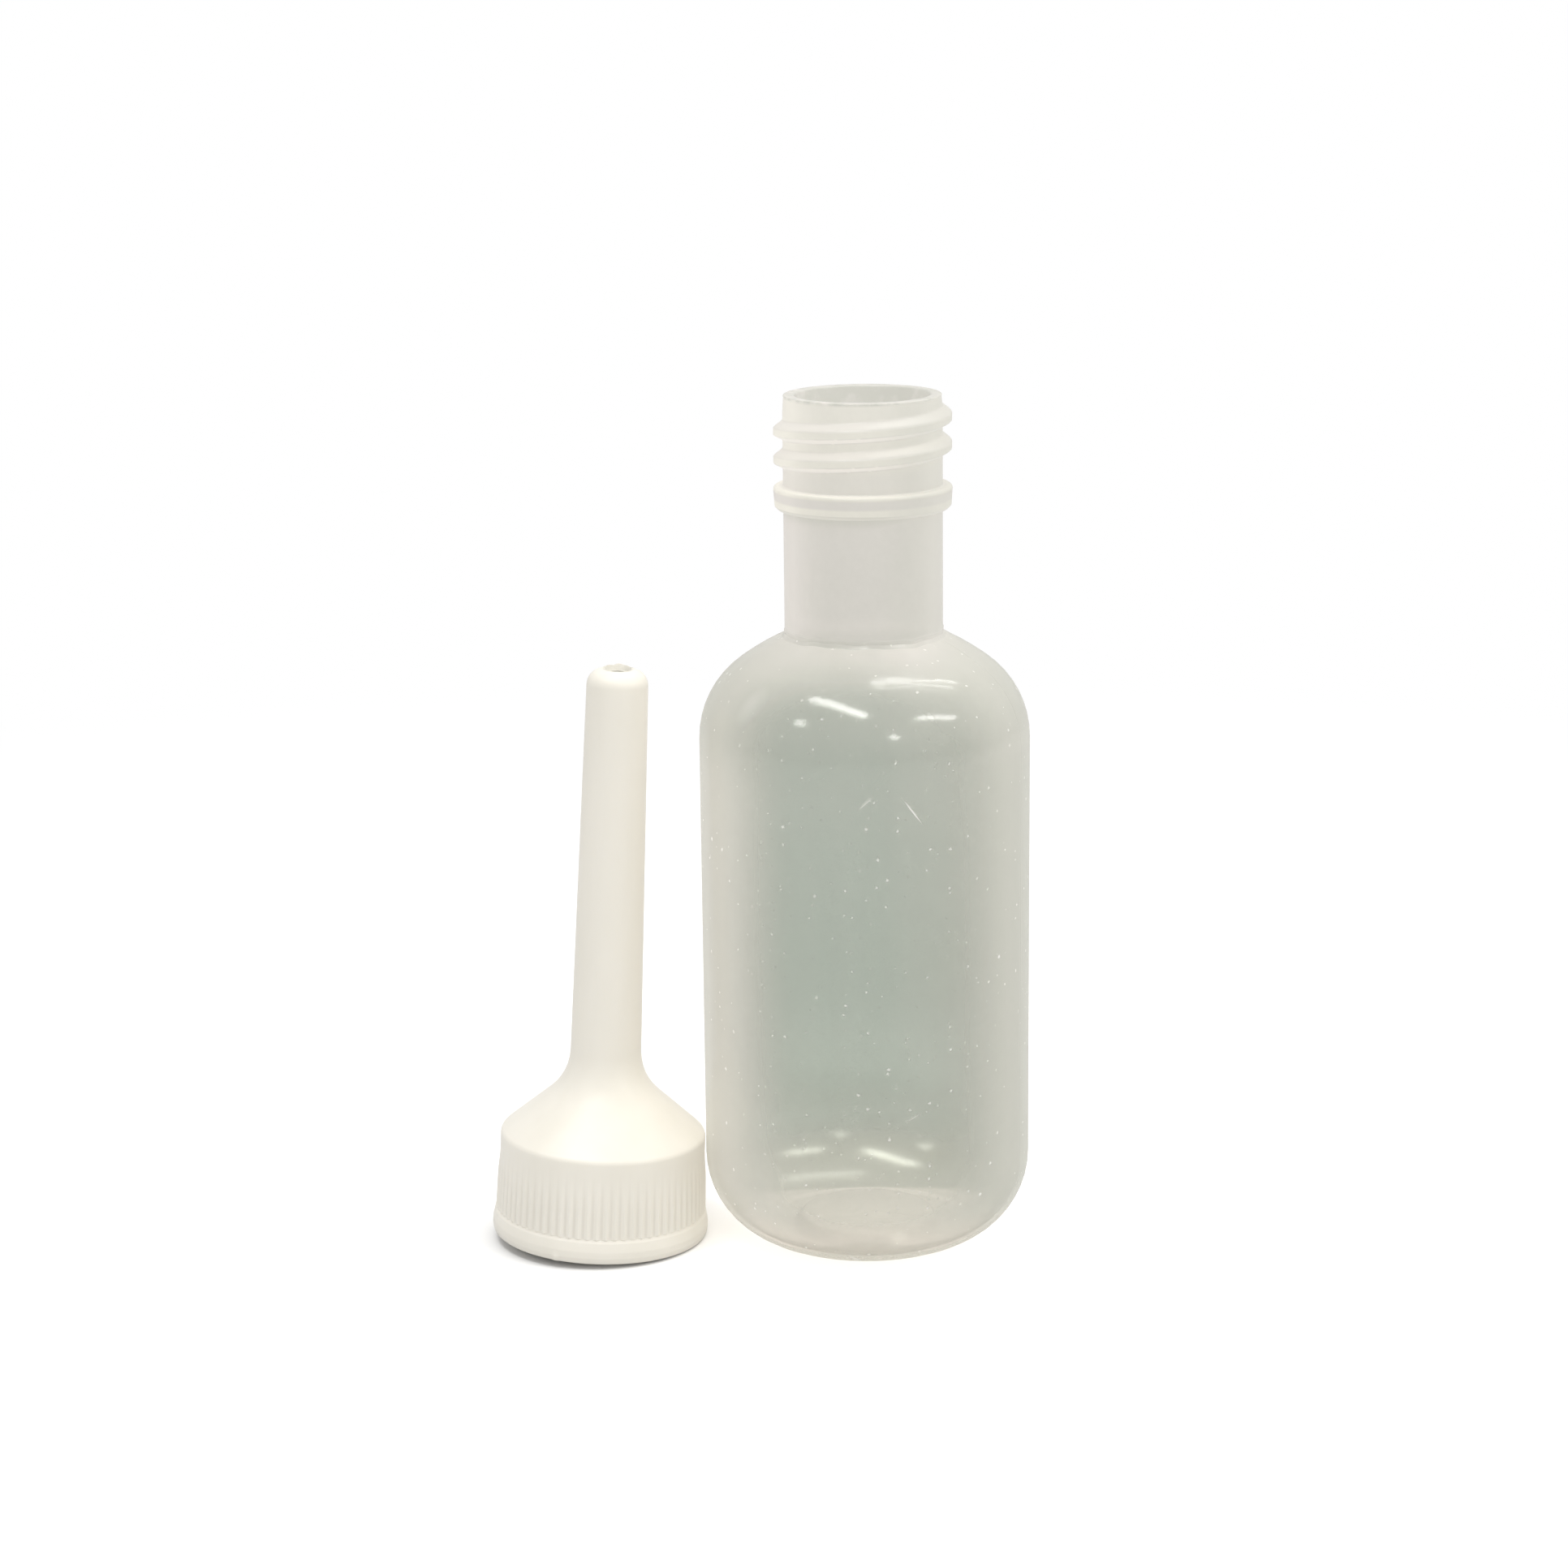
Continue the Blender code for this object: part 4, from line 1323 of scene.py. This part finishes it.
@dataclass(frozen=True)
class StripLamp:
    """A long lamp overhead, given by the directions to its two ends as azimuth from the front and elevation."""

    name: str
    first: tuple[float, float]
    last: tuple[float, float]
    width: float
    radiance: float
    colour: str = "FFFEFC"
    distance: float = 1.2
    mirrored: bool = True

    def toward(self, end: tuple[float, float]) -> Vector:
        """The place of one end, seen from the object's middle."""
        azimuth, elevation = (math.radians(a) for a in end)
        flat = math.cos(elevation)
        return Vector((flat * math.sin(azimuth), -flat * math.cos(azimuth), math.sin(elevation))) * self.distance

    def build(self, centre: Vector) -> bpy.types.Object:
        """Hangs the lamp.

        Args:
            centre: The object's middle, which the lamp faces.

        Returns:
            The lamp's object.
        """
        first, last = self.toward(self.first), self.toward(self.last)
        middle = (first + last) / 2
        along = last - first
        back = middle.normalized()
        across = back.cross(along).normalized()
        side = across.cross(back).normalized()
        lamp = bpy.data.lights.new(self.name, "AREA")
        lamp.shape = "RECTANGLE"
        lamp.size = along.length
        lamp.size_y = self.width
        lamp.energy = self.radiance * math.pi * lamp.size * lamp.size_y
        lamp.color = linear(self.colour)[:3]
        shown = bpy.data.objects.new(self.name, lamp)
        turn = Matrix((side, across, back)).transposed().to_4x4()
        shown.matrix_world = Matrix.Translation(centre + middle) @ turn
        shown.visible_glossy = self.mirrored
        bpy.context.scene.collection.objects.link(shown)
        return shown


@dataclass
class Studio:
    """The pale floor, the soft light and the camera."""

    centre: Vector
    floor_colour: str = "F8F8F8"
    floor_bounce: str = "D0D0D0"
    sky_colour: str = "FFFFFF"
    sky_strength: float = 0.68
    floor_radius: float = 2.5
    lens: float = 84.16
    camera_place: tuple[float, float, float] = (3.334 * MM, -407.23 * MM, 150.61 * MM)
    camera_tilt: float = math.radians(76.644)
    camera_roll: float = math.radians(-0.665)

    def seen(self, tree: bpy.types.NodeTree) -> bpy.types.NodeSocket:
        """1 for what the camera sees straight or through glass, so that the background is white there."""
        path = add_node(tree, "ShaderNodeLightPath")
        return add_math(tree, "MAXIMUM", path.outputs["Is Camera Ray"], path.outputs["Is Transmission Ray"])

    def lay_floor(self) -> bpy.types.Object:
        """Lays a pale card that keeps the object's shadow and ends in the white background."""
        made = empty_material("pale_card")
        tree = made.node_tree
        source = add_node(tree, "ShaderNodeTexCoord")
        grain = add_node(
            tree, "ShaderNodeTexNoise", {}, {"Scale": 1 / (1.5 * MM), "Detail": 3.0},
            {"Vector": source.outputs["Object"]},
        )
        bump = add_node(
            tree, "ShaderNodeBump", {}, {"Strength": 0.1, "Distance": 0.02 * MM}, {"Height": grain.outputs["Fac"]},
        )
        # The card shines less light back on the object than it shows, so that undersides stay in soft shade
        path = add_node(tree, "ShaderNodeLightPath")
        tone = add_node(tree, "ShaderNodeMix", {"data_type": "RGBA"}, {}, {"Factor": path.outputs["Is Camera Ray"]})
        tone.inputs[6].default_value = linear(self.floor_bounce)
        tone.inputs[7].default_value = linear(self.floor_colour)
        card = add_node(
            tree, "ShaderNodeBsdfPrincipled", {}, {"Roughness": 0.8, "Specular IOR Level": 0.2},
            {"Base Color": tone.outputs[2], "Normal": bump.outputs["Normal"]},
        )
        away = add_node(
            tree, "ShaderNodeVectorMath", {"operation": "LENGTH"}, {}, {0: source.outputs["Object"]},
        )
        far = add_node(
            tree, "ShaderNodeMapRange", {"interpolation_type": "SMOOTHSTEP"},
            {"From Min": 0.08, "From Max": 0.32}, {"Value": away.outputs["Value"]},
        )
        share = add_node(
            tree, "ShaderNodeMath", {"operation": "MULTIPLY"}, {}, {0: far.outputs["Result"], 1: self.seen(tree)},
        )
        white = add_node(tree, "ShaderNodeEmission", {}, {"Color": (1, 1, 1, 1), "Strength": 1.0})
        surface = add_node(
            tree, "ShaderNodeMixShader", {}, {}, {0: share.outputs[0], 1: card.outputs[0], 2: white.outputs[0]},
        )
        add_node(tree, "ShaderNodeOutputMaterial", {}, {}, {"Surface": surface.outputs[0]})
        shape = bmesh.new()
        bmesh.ops.create_circle(shape, cap_ends=True, segments=96, radius=self.floor_radius)
        mesh = bpy.data.meshes.new("floor_card")
        shape.to_mesh(mesh)
        shape.free()
        mesh.materials.append(made)
        floor = bpy.data.objects.new("floor_card", mesh)
        bpy.context.scene.collection.objects.link(floor)
        return floor

    def light(self) -> None:
        """Lights the scene by a soft sky and the lamps overhead whose images lie on the shoulder."""
        world = bpy.data.worlds.new("soft_sky")
        bpy.context.scene.world = world
        world.use_nodes = True
        tree = world.node_tree
        tree.nodes.clear()
        sky = add_node(
            tree, "ShaderNodeBackground", {}, {"Color": linear(self.sky_colour), "Strength": self.sky_strength},
        )
        white = add_node(tree, "ShaderNodeBackground", {}, {"Color": (1, 1, 1, 1), "Strength": 1.0})
        both = add_node(
            tree, "ShaderNodeMixShader", {}, {}, {0: self.seen(tree), 1: sky.outputs[0], 2: white.outputs[0]},
        )
        add_node(tree, "ShaderNodeOutputWorld", {}, {}, {"Surface": both.outputs[0]})
        lamps = (
            StripLamp("lamp_front", (2, 54), (-79, 64), 0.12, 11.0),
            StripLamp("lamp_right", (46, 45), (77, 33), 0.075, 11.0),
            StripLamp("lamp_back", (153, 82), (122, 66), 0.014, 34.0),
            StripLamp("lamp_rear", (122, 66), (123, 46), 0.014, 34.0),
            StripLamp("lamp_far", (147, 84), (114, 69), 0.014, 20.0),
            StripLamp("lamp_far_end", (114, 69), (112, 48), 0.014, 20.0),
            StripLamp("lamp_left", (-60, 37), (-51, 39), 0.15, 7.0),
            StripLamp("lamp_low", (19, 30), (25, 26), 0.1, 8.0),
            StripLamp("lamp_over", (-90, 62), (90, 62), 1.0, 1.15, mirrored=False),
            StripLamp("lamp_side", (40, 25), (110, 25), 0.6, 1.15, mirrored=False),
        )
        for lamp in lamps:
            lamp.build(self.centre)

    def stand_camera(self) -> bpy.types.Object:
        """Stands the camera where the photograph was taken from."""
        data = bpy.data.cameras.new("camera")
        data.lens = self.lens
        data.sensor_width = 36.0
        data.clip_start = 0.01
        data.clip_end = 20.0
        camera = bpy.data.objects.new("camera", data)
        turn = Matrix.Rotation(self.camera_tilt, 4, "X") @ Matrix.Rotation(self.camera_roll, 4, "Z")
        camera.matrix_world = Matrix.Translation(self.camera_place) @ turn
        bpy.context.scene.collection.objects.link(camera)
        bpy.context.scene.camera = camera
        return camera

    def build(self) -> None:
        """Sets up the whole studio."""
        self.lay_floor()
        self.light()
        self.stand_camera()
        bpy.context.scene.view_settings.view_transform = "Standard"


def main() -> None:
    """Builds the bottle, the cap and its washer, and the studio round them."""
    logging.basicConfig(level=logging.INFO, format="%(message)s")
    bottle = SqueezeBottle()
    cap = NozzleCap()
    washer = SealingWasher()
    bottle.build()
    cap.build()
    washer.build(cap.stand)
    Studio(centre=Vector((0, 0, bottle.height / 2))).build()


if __name__ == "__main__":
    main()
